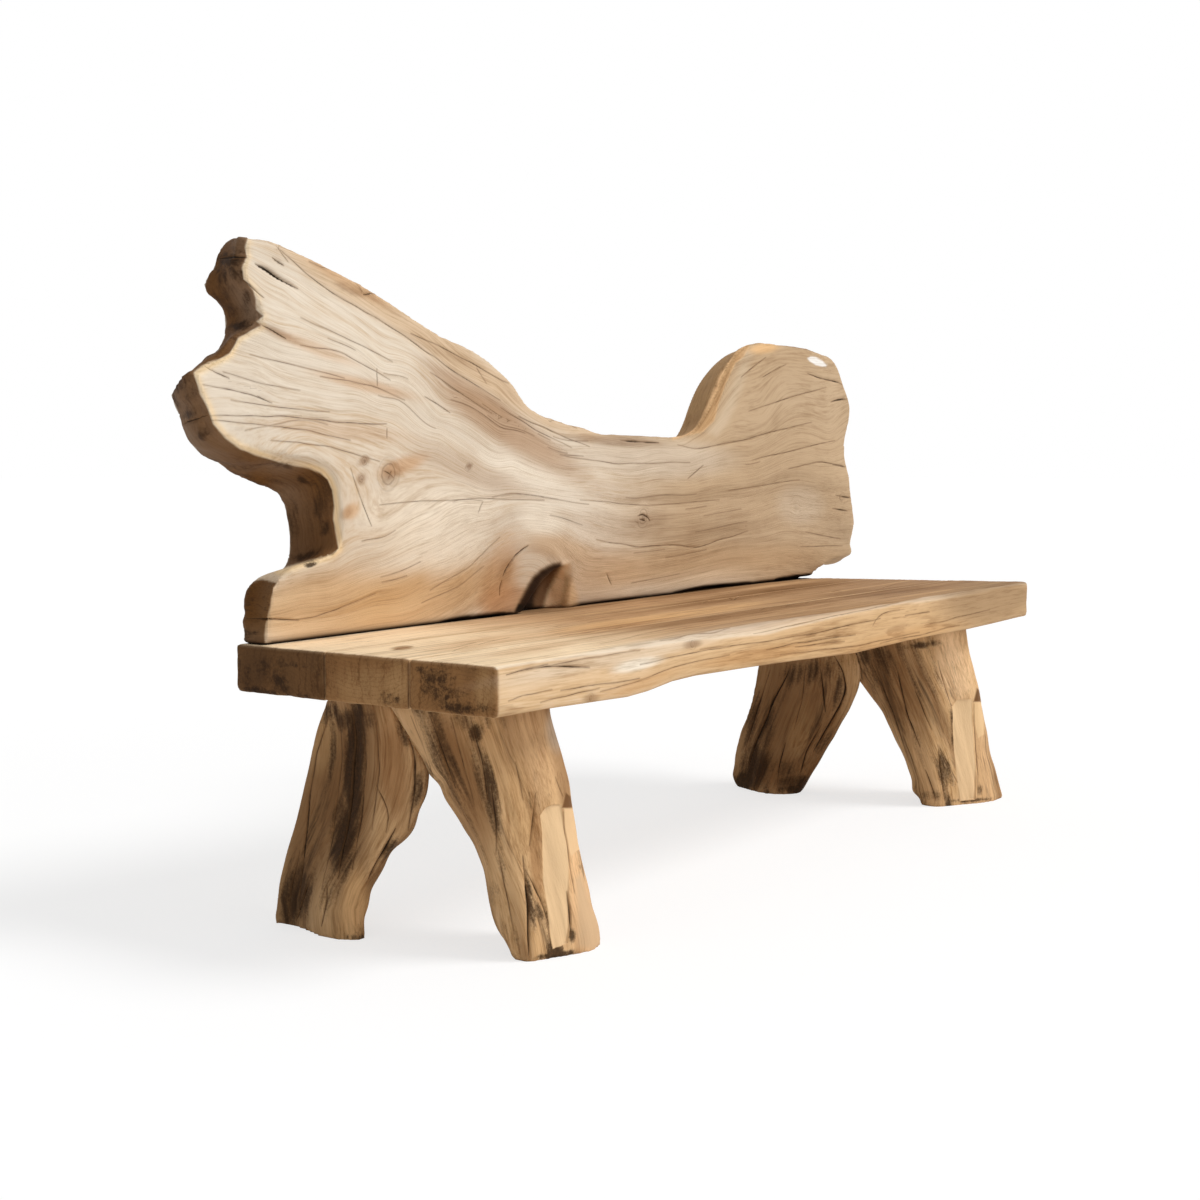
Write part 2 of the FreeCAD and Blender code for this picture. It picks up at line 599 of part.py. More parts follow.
def backrest_relief_solid():
    """Everything behind the front surface, a little longer, deeper and lower than the backrest."""
    swell = size("back_thickness") - size("back_foot_thickness")
    wires = []
    for place_share, swell_shares in RELIEF_SHARES:
        x = back_left + place_share * back_length
        rear = seat_rear + size("overrun")
        points = [
            Vector(x, seat_rear - size("back_foot_thickness") - swell_share * swell,
                   size("seat_height") + height_share * size("back_rise"))
            for height_share, swell_share in zip(RELIEF_HEIGHT_SHARES, swell_shares)
        ]
        sole = Vector(x, points[0].y, points[0].z - size("overrun"))
        corners = [points[-1], Vector(x, rear, points[-1].z), Vector(x, rear, sole.z), sole, points[0]]
        lines = [Part.makeLine(start, end) for start, end in zip(corners, corners[1:])]
        wires.append(Part.Wire([open_curve(points)] + lines))
    return Part.makeLoft(wires, True, False)


def cavity_cutter():
    middle = (CAVITY_MOUTH_SHARES[0][0] + CAVITY_MOUTH_SHARES[-1][0]) / 2
    wires = []
    front = seat_rear - size("back_thickness") - size("overrun")
    bottom = seat_rear - size("back_foot_thickness") + size("cavity_depth")
    for y, scale in ((front, 1), (bottom, CAVITY_BOTTOM_SHARE)):
        points = [
            Vector(back_left + (middle + (along - middle) * scale) * back_length, y,
                   size("seat_height") + up * scale * size("back_rise"))
            for along, up in CAVITY_MOUTH_SHARES
        ]
        sunk = Vector(0, 0, -size("overrun"))
        corners = [points[-1], points[-1] + sunk, points[0] + sunk, points[0]]
        lines = [Part.makeLine(start, end) for start, end in zip(corners, corners[1:])]
        wires.append(Part.Wire([open_curve(points)] + lines))
    return Part.makeLoft(wires, True, True)


backrest = backrest_outline_solid().common(backrest_relief_solid()).cut(cavity_cutter())
pilot_radius = size("screw_diameter") / 2 + size("screw_pilot_gap")
pilot_top = washer_underside + size("screw_length") + size("screw_pilot_gap")
pilot_bottom = size("seat_height") - size("overrun")
for x in screw_places:
    pilot = Part.makeCylinder(pilot_radius, pilot_top - pilot_bottom, Vector(x, screw_line, pilot_bottom))
    backrest = backrest.cut(pilot)
add_shape("backrest", backrest)

doc.recompute()


# The origin is the middle of the bench's footprint, at the floor

whole = FreeCAD.BoundBox()
for part in parts:
    whole.add(part.Shape.optimalBoundingBox(False))
for part in parts:
    part.Placement.Base = part.Placement.Base - Vector(whole.Center.x, whole.Center.y, whole.ZMin)
doc.recompute()

for item in doc.Objects:
    if "Invalid" in item.State or "Error" in item.State:
        raise RuntimeError(f"{item.Label} did not build: {item.State}")
for part in parts:
    if part.Shape.isNull() or not part.Shape.isValid() or len(part.Shape.Solids) != 1:
        raise RuntimeError(f"{part.Label} is not one valid solid")

os.makedirs("parts", exist_ok=True)
for part in parts:
    part.Shape.exportStep(f"parts/{part.Label}.step")
print(f"{len(parts)} parts, {whole.XLength:.1f} x {whole.YLength:.1f} x {whole.ZLength:.1f} mm")
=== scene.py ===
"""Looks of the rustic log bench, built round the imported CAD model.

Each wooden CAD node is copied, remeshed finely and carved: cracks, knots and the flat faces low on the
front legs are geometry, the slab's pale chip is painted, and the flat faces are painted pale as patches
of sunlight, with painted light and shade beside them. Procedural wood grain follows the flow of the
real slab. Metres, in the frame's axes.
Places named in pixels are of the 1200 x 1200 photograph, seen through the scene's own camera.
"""

import itertools
import math
from types import SimpleNamespace

import bmesh
import bpy
import numpy as np
from mathutils import Matrix, Vector
from mathutils.bvhtree import BVHTree


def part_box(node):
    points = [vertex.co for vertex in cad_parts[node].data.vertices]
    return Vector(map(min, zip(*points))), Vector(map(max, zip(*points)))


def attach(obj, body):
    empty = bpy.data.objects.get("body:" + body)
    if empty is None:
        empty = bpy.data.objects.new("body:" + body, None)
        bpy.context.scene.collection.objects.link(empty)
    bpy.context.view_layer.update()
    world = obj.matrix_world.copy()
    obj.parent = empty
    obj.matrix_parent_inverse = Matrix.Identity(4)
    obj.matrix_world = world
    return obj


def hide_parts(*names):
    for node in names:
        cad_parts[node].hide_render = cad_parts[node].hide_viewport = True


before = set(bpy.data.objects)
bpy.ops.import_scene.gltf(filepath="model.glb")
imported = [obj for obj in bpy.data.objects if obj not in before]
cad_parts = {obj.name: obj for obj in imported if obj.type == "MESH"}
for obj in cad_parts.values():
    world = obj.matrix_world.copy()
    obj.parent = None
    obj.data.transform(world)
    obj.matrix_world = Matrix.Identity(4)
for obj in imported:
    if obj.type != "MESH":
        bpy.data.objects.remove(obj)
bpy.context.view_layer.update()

MILLIMETRE = 0.001

# Camera, solved from the straight edges of the seat
PHOTO_SIDE = 1200
FOCAL_PIXELS = 1899.1
CAMERA_PLACE = Vector((-2.7228, -1.7504, 0.7274))
CAMERA_YAW = 0.9620
CAMERA_PITCH = 0.0865
CAMERA_ROLL = 0.0012
SENSOR_WIDTH = 36.0

# Heights and faces of the seat and the slab, from the frame
FRONT_BOARD_LOW, FRONT_BOARD_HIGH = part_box("seat_board_front")
SEAT_TOP = FRONT_BOARD_HIGH.z
SEAT_FRONT = FRONT_BOARD_LOW.y
UNDERSIDE = round(FRONT_BOARD_LOW.z, 4)
BACK_FRONT, BACK_REAR = (corner.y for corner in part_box("backrest"))
BACK_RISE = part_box("backrest")[1].z - SEAT_TOP

# Fineness of the meshes, and how far from a crack or an arris the faces are split, in metres
BACKREST_VOXEL = 0.0055
BOARD_VOXEL = 0.0045
LEG_VOXEL = 0.0040
FEATURE_REACH = 0.009
RIM_REACH = 0.007

# Where a line on a surface is cut or thinned, in metres
LONGEST_GAP = 0.09
SHORTEST_GAP = 0.0005

# Steps in pixels, and unsteadiness in pixels, of a crack that is drawn on the photograph
CRACK_STEP = 5
CRACK_SWAY = 0.7

# Distance from a crack that stands for none, in metres
FAR = 3.0

# Distances from the camera at which the nearest surface is looked for beside the outline
PROBE_RUNS = [2.2 + 0.07 * step for step in range(40)]


def camera_axes():
    """Unit vectors to the right, up and forward in the photograph."""
    forward = Vector((
        math.sin(CAMERA_YAW) * math.cos(CAMERA_PITCH),
        math.cos(CAMERA_YAW) * math.cos(CAMERA_PITCH),
        -math.sin(CAMERA_PITCH),
    ))
    level = forward.cross(Vector((0, 0, 1))).normalized()
    upright = level.cross(forward)
    right = math.cos(CAMERA_ROLL) * level + math.sin(CAMERA_ROLL) * upright
    up = math.cos(CAMERA_ROLL) * upright - math.sin(CAMERA_ROLL) * level
    return right, up, forward


RIGHT, UP, FORWARD = camera_axes()


def photo_ray(pixel):
    """Direction from the camera through a pixel of the photograph."""
    across = float(pixel[0] - PHOTO_SIDE / 2) / FOCAL_PIXELS
    down = float(pixel[1] - PHOTO_SIDE / 2) / FOCAL_PIXELS
    return (FORWARD + across * RIGHT - down * UP).normalized()


def to_photo(points):
    """Pixels of the photograph at which points in space appear."""
    offset = points - np.array(CAMERA_PLACE)
    depth = offset @ np.array(FORWARD)
    across = offset @ np.array(RIGHT) / depth
    up = offset @ np.array(UP) / depth
    return np.stack([PHOTO_SIDE / 2 + FOCAL_PIXELS * across, PHOTO_SIDE / 2 - FOCAL_PIXELS * up], 1)


def plane_points(pixels, axis, value):
    """Where the lines of sight through pixels meet a plane across an axis."""
    points = []
    for pixel in pixels:
        direction = photo_ray(pixel)
        run = (value - CAMERA_PLACE[axis]) / direction[axis]
        points.append(CAMERA_PLACE + run * direction)
    return np.array(points)


# Noise

def lattice_value(cell, seed):
    """A fixed pseudo-random number from -1 to 1 for each whole-number cell."""
    mixed = cell[:, 0] * 73856093 ^ cell[:, 1] * 19349663 ^ cell[:, 2] * 83492791 ^ seed * 2654435761
    mixed = (mixed ^ (mixed >> 13)) * 1274126177 & 0x7FFFFFFF
    mixed = (mixed ^ (mixed >> 16)) & 0xFFFFF
    return mixed / 0x7FFFF - 1.0


def noise(places, scale, seed):
    """Smooth noise from -1 to 1. scale is the size of its features along each axis."""
    scaled = places / np.array(scale)
    base = np.floor(scaled).astype(np.int64)
    rest = scaled - base
    rest = rest * rest * (3 - 2 * rest)
    total = np.zeros(len(places))
    for corner in itertools.product((0, 1), repeat=3):
        weight = np.prod(np.where(np.array(corner) == 1, rest, 1 - rest), axis=1)
        total += weight * lattice_value(base + np.array(corner), seed)
    return total


def chance(seed, index):
    """A fixed number from 0 to 1."""
    return 0.5 + 0.5 * lattice_value(np.array([[seed, index, 7]], dtype=np.int64), 41)[0]


def smooth_step(low, high, value):
    """0 up to low, 1 from high, smooth between."""
    share = np.clip((value - low) / (high - low), 0, 1)
    return share * share * (3 - 2 * share)


def bell(distance, width):
    """1 at no distance, falling off smoothly within the width."""
    return np.exp(-((distance / width) ** 2))


# Meshes and lines on them

def vertex_vectors(rows, field):
    """The vector of each vertex, such as its place or its normal."""
    vectors = np.empty(len(rows) * 3)
    rows.foreach_get(field, vectors)
    return vectors.reshape(-1, 3)


def set_attribute(mesh, name, values):
    """Stores a number, a vector or a colour for each vertex."""
    values = np.asarray(values, dtype=np.float32)
    width = values.shape[1] if values.ndim == 2 else 1
    kind, field = {1: ("FLOAT", "value"), 3: ("FLOAT_VECTOR", "vector"), 4: ("FLOAT_COLOR", "color")}[width]
    mesh.attributes.new(name, kind, "POINT").data.foreach_set(field, values.ravel())


def add_object(name, data):
    """A new object in the scene."""
    added = bpy.data.objects.new(name, data)
    bpy.context.scene.collection.objects.link(added)
    return added


def fine_copy(node, name, voxel):
    """A new piece with the node's shape, remeshed to even small faces."""
    piece = add_object(name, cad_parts[node].data.copy())
    remesh = piece.modifiers.new("fine", "REMESH")
    remesh.mode = "VOXEL"
    remesh.voxel_size = voxel
    remesh.use_smooth_shade = True
    graph = bpy.context.evaluated_depsgraph_get()
    mesh = bpy.data.meshes.new_from_object(piece.evaluated_get(graph))
    piece.modifiers.clear()
    piece.data = mesh
    mesh.materials.clear()
    mesh.name = name
    return piece


def make_tree(piece):
    """The piece's surface, ready to be met by rays."""
    mesh = piece.data
    return BVHTree.FromPolygons([v.co for v in mesh.vertices], [p.vertices[:] for p in mesh.polygons])


def photo_hit(tree, pixel):
    """The point of a piece that the photograph shows at a pixel, or the nearest one just beside it."""
    direction = photo_ray(pixel)
    hit = tree.ray_cast(CAMERA_PLACE, direction)
    if hit[0] is None:
        nearest = (tree.find_nearest(CAMERA_PLACE + direction * run) for run in PROBE_RUNS)
        hit = min(nearest, key=lambda found: found[3])
    return np.array(hit[0])


def joined(points):
    """The points of a surface line, cut where it jumps to another part of the surface."""
    kept = [points[0]]
    for point in points[1:]:
        gap = np.linalg.norm(point - kept[-1])
        if gap > LONGEST_GAP:
            break
        if gap > SHORTEST_GAP:
            kept.append(point)
    return np.array(kept)


def run_lengths(line):
    """The lengths of a polyline's parts, and how far along it its corners are."""
    lengths = np.linalg.norm(np.diff(line, axis=0), axis=1)
    return lengths, np.concatenate([[0], np.cumsum(lengths)])


def drawn_line(tree, pixels, seed):
    """A line on a piece's surface under a line drawn in pixels, a little unsteady as real cracks are."""
    corners = np.array(pixels, dtype=float)
    lengths, starts = run_lengths(corners)
    steps = np.linspace(0, starts[-1], max(2, int(starts[-1] / CRACK_STEP) + 1))
    drawn = np.stack([np.interp(steps, starts, corners[:, axis]) for axis in (0, 1)], 1)
    if len(drawn) > 4:
        drawn[1:-1] = 0.25 * drawn[:-2] + 0.5 * drawn[1:-1] + 0.25 * drawn[2:]
    marks = np.stack([steps, np.full(len(steps), seed * 7.3), np.zeros(len(steps))], 1)
    drawn[:, 1] += CRACK_SWAY * noise(marks, (14, 1, 1), seed)
    return joined([photo_hit(tree, pixel) for pixel in drawn])


def cast_lines(tree, rows, least, holds=lambda hit: True):
    """The surface lines that rows of rays meet. Each ends where a ray misses or its hit doesn't hold."""
    lines = []
    for row in rows:
        points = []
        for start, way in row:
            hit = tree.ray_cast(start, way)
            if hit[0] is None or not holds(hit):
                break
            points.append(np.array(hit[0]))
        if len(points) >= least:
            lines.append(joined(points))
    return lines


def along_line(places, line):
    """For each place: distance to a polyline, share of its length, distance past its ends, the nearest
    point on it and its direction there."""
    lengths, starts = run_lengths(line)
    best = np.full(len(places), np.inf)
    share = np.zeros(len(places))
    past = np.zeros(len(places))
    point = np.zeros((len(places), 3))
    way = np.zeros((len(places), 3))
    for index, length in enumerate(lengths):
        direction = (line[index + 1] - line[index]) / length
        run = (places - line[index]) @ direction
        beyond = np.zeros(len(places))
        if index == 0:
            beyond = np.maximum(beyond, -run)
        if index == len(lengths) - 1:
            beyond = np.maximum(beyond, run - length)
        held = np.clip(run, 0, length)
        nearest = line[index] + held[:, None] * direction
        distance = np.linalg.norm(places - nearest, axis=1)
        closer = distance < best
        best[closer] = distance[closer]
        share[closer] = (starts[index] + held[closer]) / starts[-1]
        past[closer] = beyond[closer]
        point[closer] = nearest[closer]
        way[closer] = direction
    return best, share, past, point, way


def in_box(places, line, reach):
    """Which places lie in the box round a line, grown by a reach."""
    return np.where(((places > line.min(0) - reach) & (places < line.max(0) + reach)).all(1))[0]


def refine(piece, lines, reach, rounds):
    """Splits the faces near lines on the surface, so that fine cracks can be carved there."""
    mesh = piece.data
    for limit in [1.5 * reach, reach][:rounds]:
        places = vertex_vectors(mesh.vertices, "co")
        near = np.zeros(len(places), dtype=bool)
        for line in lines:
            inside = in_box(places, line, limit)
            if len(inside):
                near[inside] |= along_line(places[inside], line)[0] < limit
        shape = bmesh.new()
        shape.from_mesh(mesh)
        shape.verts.ensure_lookup_table()
        edges = [edge for edge in shape.edges if near[edge.verts[0].index] and near[edge.verts[1].index]]
        bmesh.ops.subdivide_edges(shape, edges=edges, cuts=1, use_grid_fill=True, smooth=0.0)
        shape.to_mesh(mesh)
        shape.free()
        mesh.update()
    for polygon in mesh.polygons:
        polygon.use_smooth = True


def outline_depth(pixels, outline):
    """Distance of each pixel from an outline's edge, positive inside."""
    outline = np.array(outline, dtype=float)
    distance = np.full(len(pixels), np.inf)
    inside = np.zeros(len(pixels), dtype=bool)
    for start, end in zip(outline, np.roll(outline, -1, axis=0)):
        edge = end - start
        share = np.clip(((pixels - start) @ edge) / (edge @ edge), 0, 1)
        distance = np.minimum(distance, np.linalg.norm(pixels - start - share[:, None] * edge, axis=1))
        crosses = (start[1] > pixels[:, 1]) != (end[1] > pixels[:, 1])
        height = end[1] - start[1] if end[1] != start[1] else 1e-9
        at = start[0] + (pixels[:, 1] - start[1]) / height * edge[0]
        inside ^= crosses & (pixels[:, 0] < at)
    return np.where(inside, distance, -distance)


def thin_plate(points, values, stiffness):
    """A smooth field through values at scattered points of a plane."""
    count = len(points)

    def kernel(places):
        gap = np.linalg.norm(places[:, None] - points[None], axis=2)
        return gap ** 2 * np.log(gap + 1e-9)

    matrix = np.zeros((count + 3, count + 3))
    matrix[:count, :count] = kernel(points) + stiffness * np.eye(count)
    matrix[:count, count] = 1
    matrix[:count, count + 1:] = points
    matrix[count:, :count] = matrix[:count, count:].T
    weights = np.linalg.solve(matrix, np.concatenate([values, np.zeros(3)]))

    def field(places):
        parts = np.array_split(places, max(1, len(places) // 20000))
        return np.concatenate([
            kernel(part) @ weights[:count] + weights[count] + part @ weights[count + 1:] for part in parts])

    return field


class Carving:
    """The vertices of one piece while its features are worked into them."""

    def __init__(self, piece):
        self.mesh = piece.data
        self.places = vertex_vectors(self.mesh.vertices, "co")
        self.normals = vertex_vectors(self.mesh.vertex_normals, "vector")
        count = len(self.places)
        self.moved = np.zeros(count)
        self.tint = np.zeros((count, 4))
        # Dirt, and painted shade where dark patches stand for shadow
        self.grime_and_shade = np.zeros(count)
        self.side = np.ones((count, 3))
        self.width = np.full((count, 3), -FAR)
        self.taken = np.zeros((count, 3), dtype=bool)
        self.seen = ((np.array(CAMERA_PLACE) - self.places) * self.normals).sum(1) > 0
        self.pixels = to_photo(self.places)

    def crack(self, line, width, depth):
        """A crack along a line on the surface: a groove, and for the material its side and half width."""
        reach = FEATURE_REACH + width / 2
        inside = in_box(self.places, line, reach)
        found = along_line(self.places[inside], line)
        close = found[0] < reach
        inside = inside[close]
        distance, share, past, point, way = (values[close] for values in found)
        taper = np.clip(4 * share * (1 - share), 0, 1) ** 0.6
        uneven = noise(self.places[inside], (0.02, 0.02, 0.02), 77)
        half = width / 2 * (0.12 + 0.88 * taper) * (1 + 0.45 * uneven)
        across = np.cross(self.normals[inside], way)
        side = ((self.places[inside] - point) * across).sum(1)
        layer = int(np.argmin(self.taken[inside].sum(0)))
        free = ~self.taken[inside, layer]
        chosen = inside[free]
        self.side[chosen, layer] = (np.where(side < 0, -1.0, 1.0) * distance)[free]
        self.width[chosen, layer] = np.where(past > 0, -past, half)[free]
        self.taken[inside, layer] = True
        groove = 1 - smooth_step(0.2, 1.9, distance / np.maximum(half, 0.0016))
        groove *= 1 - smooth_step(0, 0.004, past)
        self.moved[inside] -= depth * np.clip(half / 0.0014, 0.25, 1) * taper * groove

    def open_cracks(self, cracks):
        """All of a piece's cracks, each a line with its width and depth."""
        for line, width, depth in cracks:
            self.crack(line, width, depth)

    def relief(self, seed, *terms):
        """Unevenness: where it is, its height in millimetres, and the places and scale of its noise."""
        for index, (share, height, places, scale) in enumerate(terms):
            self.moved += share * (height * MILLIMETRE) * noise(places, scale, seed + index)

    def from_middle(self, centre, radii, angle):
        """Distance of each vertex from a pixel, measured in the radii of an ellipse turned by an angle."""
        offset = self.pixels - np.array(centre)
        cosine = math.cos(math.radians(angle))
        sine = math.sin(math.radians(angle))
        along = (offset[:, 0] * cosine + offset[:, 1] * sine) / radii[0]
        across = (offset[:, 1] * cosine - offset[:, 0] * sine) / radii[1]
        return np.hypot(along, across)

    def paint_spots(self, spots, factor=1.0):
        """Soft patches of colour: centre and radii in pixels, angle, colour and strength."""
        for centre, radii, angle, shade, strength in spots:
            inside = 1 - smooth_step(0.5, 1.5, self.from_middle(centre, radii, angle))
            self.blend(inside * self.seen * (strength * factor), shade)

    def soil_and_shade(self, patches):
        """Mottled dark patches of dirt, some of them painted shadow: centre and radii in pixels, angle
        and strength.
        """
        for centre, radii, angle, strength in patches:
            amount = strength * (1 - smooth_step(0.2, 1.5, self.from_middle(centre, radii, angle)))
            self.grime_and_shade = np.maximum(self.grime_and_shade, amount * self.seen)

    def outlined(self, outline, soft, within=None):
        """1 where the photograph shows a vertex inside an outline in pixels, 0 elsewhere. soft is the
        width of the outline's edge in pixels."""
        depth = outline_depth(self.pixels, outline)
        return smooth_step(-soft, soft, depth) * (self.seen if within is None else within)

    def push(self, pushes):
        """Moves the outline as seen from the camera: pixel, radius in pixels, millimetres outward."""
        sight = self.places - np.array(CAMERA_PLACE)
        sight /= np.linalg.norm(sight, axis=1)[:, None]
        rim = 1 - smooth_step(0.35, 0.85, np.abs((sight * self.normals).sum(1)))
        for centre, radius, height in pushes:
            near = np.exp(-((self.pixels - np.array(centre)) ** 2).sum(1) / radius ** 2)
            self.moved += near * rim * height * MILLIMETRE

    def blend(self, share, colour):
        """Mixes a colour into the tint. Its alpha says how much of the base colour is covered."""
        share = np.clip(share, 0, 1)[:, None]
        cover = self.tint[:, 3:] * (1 - share) + share
        mixed = self.tint[:, :3] * self.tint[:, 3:] * (1 - share) + np.array(colour) * share
        self.tint[:, :3] = mixed / np.maximum(cover, 1e-6)
        self.tint[:, 3:] = cover

    def bare(self, inside):
        """Keeps dirt off a patch, which stays plain: the legs' cut faces painted as sunlit, and the patches
        beside them.
        """
        self.grime_and_shade = self.grime_and_shade * (1 - inside) - 0.6 * inside

    def finish(self, **fields):
        """Moves the vertices, none below the floor, and stores what the material reads."""
        carved = self.places + self.normals * self.moved[:, None]
        carved[:, 2] = np.maximum(carved[:, 2], 0)
        self.mesh.vertices.foreach_set("co", carved.ravel())
        self.mesh.update()
        own = {"tint": self.tint, "grime_and_shade": self.grime_and_shade, "crack_side": self.side, "crack_width": self.width}
        for name, values in {**own, **fields}.items():
            set_attribute(self.mesh, name, values)


def work_cracks(piece, tree, seen_cracks, hidden_lines):
    """Traces the cracks on the surface, refines the mesh there and returns the lines with their sizes."""
    cracks = []
    for index, (width, depth, pixels) in enumerate(seen_cracks):
        line = drawn_line(tree, pixels, index + 3)
        if len(line) > 1:
            cracks.append((line, width * MILLIMETRE, depth * MILLIMETRE))
    for index, line in enumerate(hidden_lines):
        if len(line) > 1:
            width = 1.2 + 2.4 * chance(91, index)
            cracks.append((line, width * MILLIMETRE, (1 + 2 * width) * MILLIMETRE))
    refine(piece, [line for line, width, depth in cracks], FEATURE_REACH, 1)
    return cracks


def add_knots(carving, grain, tree, knots):
    """Round knots: rings, a dark heart, a dent round it, and grain that bends past it."""
    field = np.zeros(len(carving.places))
    for centre, radius, strength in knots:
        middle = photo_hit(tree, centre) if len(centre) == 2 else np.array(centre)
        distance = np.linalg.norm(carving.places - middle, axis=1)
        at = np.argmin(distance)
        grain[:, 1] += (grain[at, 1] - grain[:, 1]) * (bell(distance, 1.5 * radius) * 0.85)
        field = np.maximum(field, strength * np.clip(1.25 - distance / (1.7 * radius), 0, 1))
        carving.blend(bell(distance, 1.25 * radius) * 0.55 * strength, BROWN)
        carving.blend((1 - smooth_step(0.25, 0.55, distance / radius)) * 0.8 * strength, UMBER)
        carving.moved -= 1.0 * MILLIMETRE * strength * bell(distance - 0.85 * radius, 0.35 * radius)
        carving.moved += 1.2 * MILLIMETRE * strength * bell(distance, 0.6 * radius)
    return field


def dress(piece, node, material):
    """Puts a finished piece in the place of its CAD node."""
    piece.data.materials.append(material)
    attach(piece, "root")
    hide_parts(node)


# Colours, written as they look on a screen

def colour(red, green, blue):
    """Linear colour of a screen colour given from 0 to 255."""
    parts = []
    for part in (red, green, blue):
        share = part / 255
        parts.append(share / 12.92 if share <= 0.04045 else ((share + 0.055) / 1.055) ** 2.4)
    return tuple(parts)


CREAM = colour(234, 222, 203)
PALE = colour(212, 198, 179)
HONEY = colour(224, 180, 128)
AMBER = colour(199, 162, 117)
TAN = colour(212, 178, 137)
SAND = colour(184, 154, 118)
OCHRE = colour(194, 154, 106)
GOLD = colour(184, 132, 76)
ROSE_BROWN = colour(160, 122, 86)
RUSSET = colour(150, 108, 66)
BROWN = colour(122, 86, 52)
# Bark brown of the slab's left-facing sides, partly painted shade
BARK_AND_SHADE = colour(101, 65, 29)
UMBER = colour(76, 51, 30)
# Dark dirt, and painted shadow in gaps, in the hollow and under the seat
SOOT_AND_SHADOW = colour(28, 19, 11)
CRACK = colour(38, 26, 15)
WHITE = (1.0, 1.0, 1.0)


# Materials

class NodeTree:
    """Short ways to add shader nodes and join them."""

    def __init__(self, tree):
        self.tree = tree
        tree.nodes.clear()

    def add(self, kind, settings=None, **inputs):
        node = self.tree.nodes.new(kind)
        for name, value in (settings or {}).items():
            setattr(node, name, value)
        for name, value in inputs.items():
            self.join(value, node.inputs[name.replace("_", " ")])
        return node

    def join(self, value, socket):
        if isinstance(value, bpy.types.NodeSocket):
            self.tree.links.new(value, socket)
        else:
            socket.default_value = value

    def calculate(self, operation, *values, clamp=False):
        node = self.add("ShaderNodeMath", {"operation": operation, "use_clamp": clamp})
        for value, socket in zip(values, node.inputs):
            self.join(value, socket)
        return node.outputs[0]

    def times(self, first, *others, clamp=False):
        for other in others:
            first = self.calculate("MULTIPLY", first, other, clamp=clamp)
        return first

    def plus(self, first, second, clamp=False):
        return self.calculate("ADD", first, second, clamp=clamp)

    def scaled(self, value, factor, offset):
        return self.calculate("MULTIPLY_ADD", value, factor, offset)

    def centred(self, value, weight):
        """A noise of this weight, with its middle at 0."""
        return self.scaled(value, weight, -0.5 * weight)

    def rest(self, share):
        """What is left of 1."""
        return self.calculate("SUBTRACT", 1.0, share)

    def waves(self, value, low):
        """Crests of a sine, smooth from a height of low to the top."""
        return self.ramp(self.calculate("SINE", value), low, 1.0)

    def attribute(self, name, output="Fac"):
        return self.add("ShaderNodeAttribute", {"attribute_name": name}).outputs[output]

    def place(self):
        return self.add("ShaderNodeTexCoord").outputs["Object"]

    def stretched(self, vector, factors):
        node = self.add("ShaderNodeVectorMath", {"operation": "MULTIPLY"})
        self.join(vector, node.inputs[0])
        node.inputs[1].default_value = factors
        return node.outputs[0]

    def noise(self, vector, factors, detail=3.0, roughness=0.55, distortion=0.0):
        """Noise with this many features in a metre along each axis."""
        return self.add(
            "ShaderNodeTexNoise", Vector=self.stretched(vector, factors), Scale=1.0, Detail=detail,
            Roughness=roughness, Distortion=distortion,
        ).outputs["Fac"]

    def ramp(self, value, low, high):
        """0 at low, 1 at high, smooth between."""
        return self.add(
            "ShaderNodeMapRange", {"interpolation_type": "SMOOTHSTEP"},
            Value=value, From_Min=low, From_Max=high,
        ).outputs["Result"]

    def mix(self, share, first, second, blend="MIX"):
        node = self.add("ShaderNodeMix", {"data_type": "RGBA", "blend_type": blend})
        self.join(share, node.inputs[0])
        for value, socket in ((first, node.inputs[6]), (second, node.inputs[7])):
            self.join((*value, 1.0) if isinstance(value, tuple) else value, socket)
        return node.outputs[2]

    def darken(self, share, base, filter_colour):
        """Mixes in the base colour as seen through a filter of another colour."""
        return self.mix(share, base, self.mix(1.0, base, filter_colour, "MULTIPLY"))

    def colour_ramp(self, value, stops):
        node = self.add("ShaderNodeValToRGB", Fac=value)
        band = node.color_ramp
        while len(band.elements) < len(stops):
            band.elements.new(0.5)
        for element, (place, shade) in zip(band.elements, stops):
            element.position = place
            element.color = (*shade, 1.0)
        return node.outputs[0]

    def bump(self, height, strength, distance):
        return self.add("ShaderNodeBump", Strength=strength, Distance=distance, Height=height).outputs[0]

    def output(self, shader, kind="ShaderNodeOutputMaterial"):
        self.join(shader.outputs[0], self.tree.nodes.new(kind).inputs[0])

    def finish(self, **inputs):
        """The surface itself, joined to the material's output."""
        self.output(self.add("ShaderNodeBsdfPrincipled", **inputs))


def new_material(name):
    """A material without nodes yet, and its tree."""
    material = bpy.data.materials.new(name)
    material.use_nodes = True
    return material, NodeTree(material.node_tree)


def weathered(nodes, wood, stops, bands, streaks):
    """The wood's own colours, with the piece's tint over them."""
    tone = nodes.centred(wood.band, bands)
    for value, weight in ((wood.streak, 1.3 * streaks), (wood.fibre, 1.0), (wood.blotch, 0.45)):
        tone = nodes.plus(tone, nodes.centred(value, weight))
    tone = nodes.plus(tone, 0.5, clamp=True)
    tint = nodes.attribute("tint", "Color")
    cover = nodes.attribute("tint", "Alpha")
    lively = nodes.colour_ramp(tone, [(0.05, (0.56, 0.47, 0.38)), (0.5, WHITE), (0.95, (1.16, 1.18, 1.22))])
    tinted = nodes.mix(1.0, tint, nodes.mix(wood.plain, lively, WHITE), "MULTIPLY")
    uneven = nodes.times(nodes.centred(wood.streak, 2.4), nodes.rest(cover))
    share = nodes.plus(cover, nodes.times(uneven, cover), clamp=True)
    return nodes.mix(nodes.ramp(share, 0.05, 0.95), nodes.colour_ramp(tone, stops), tinted)


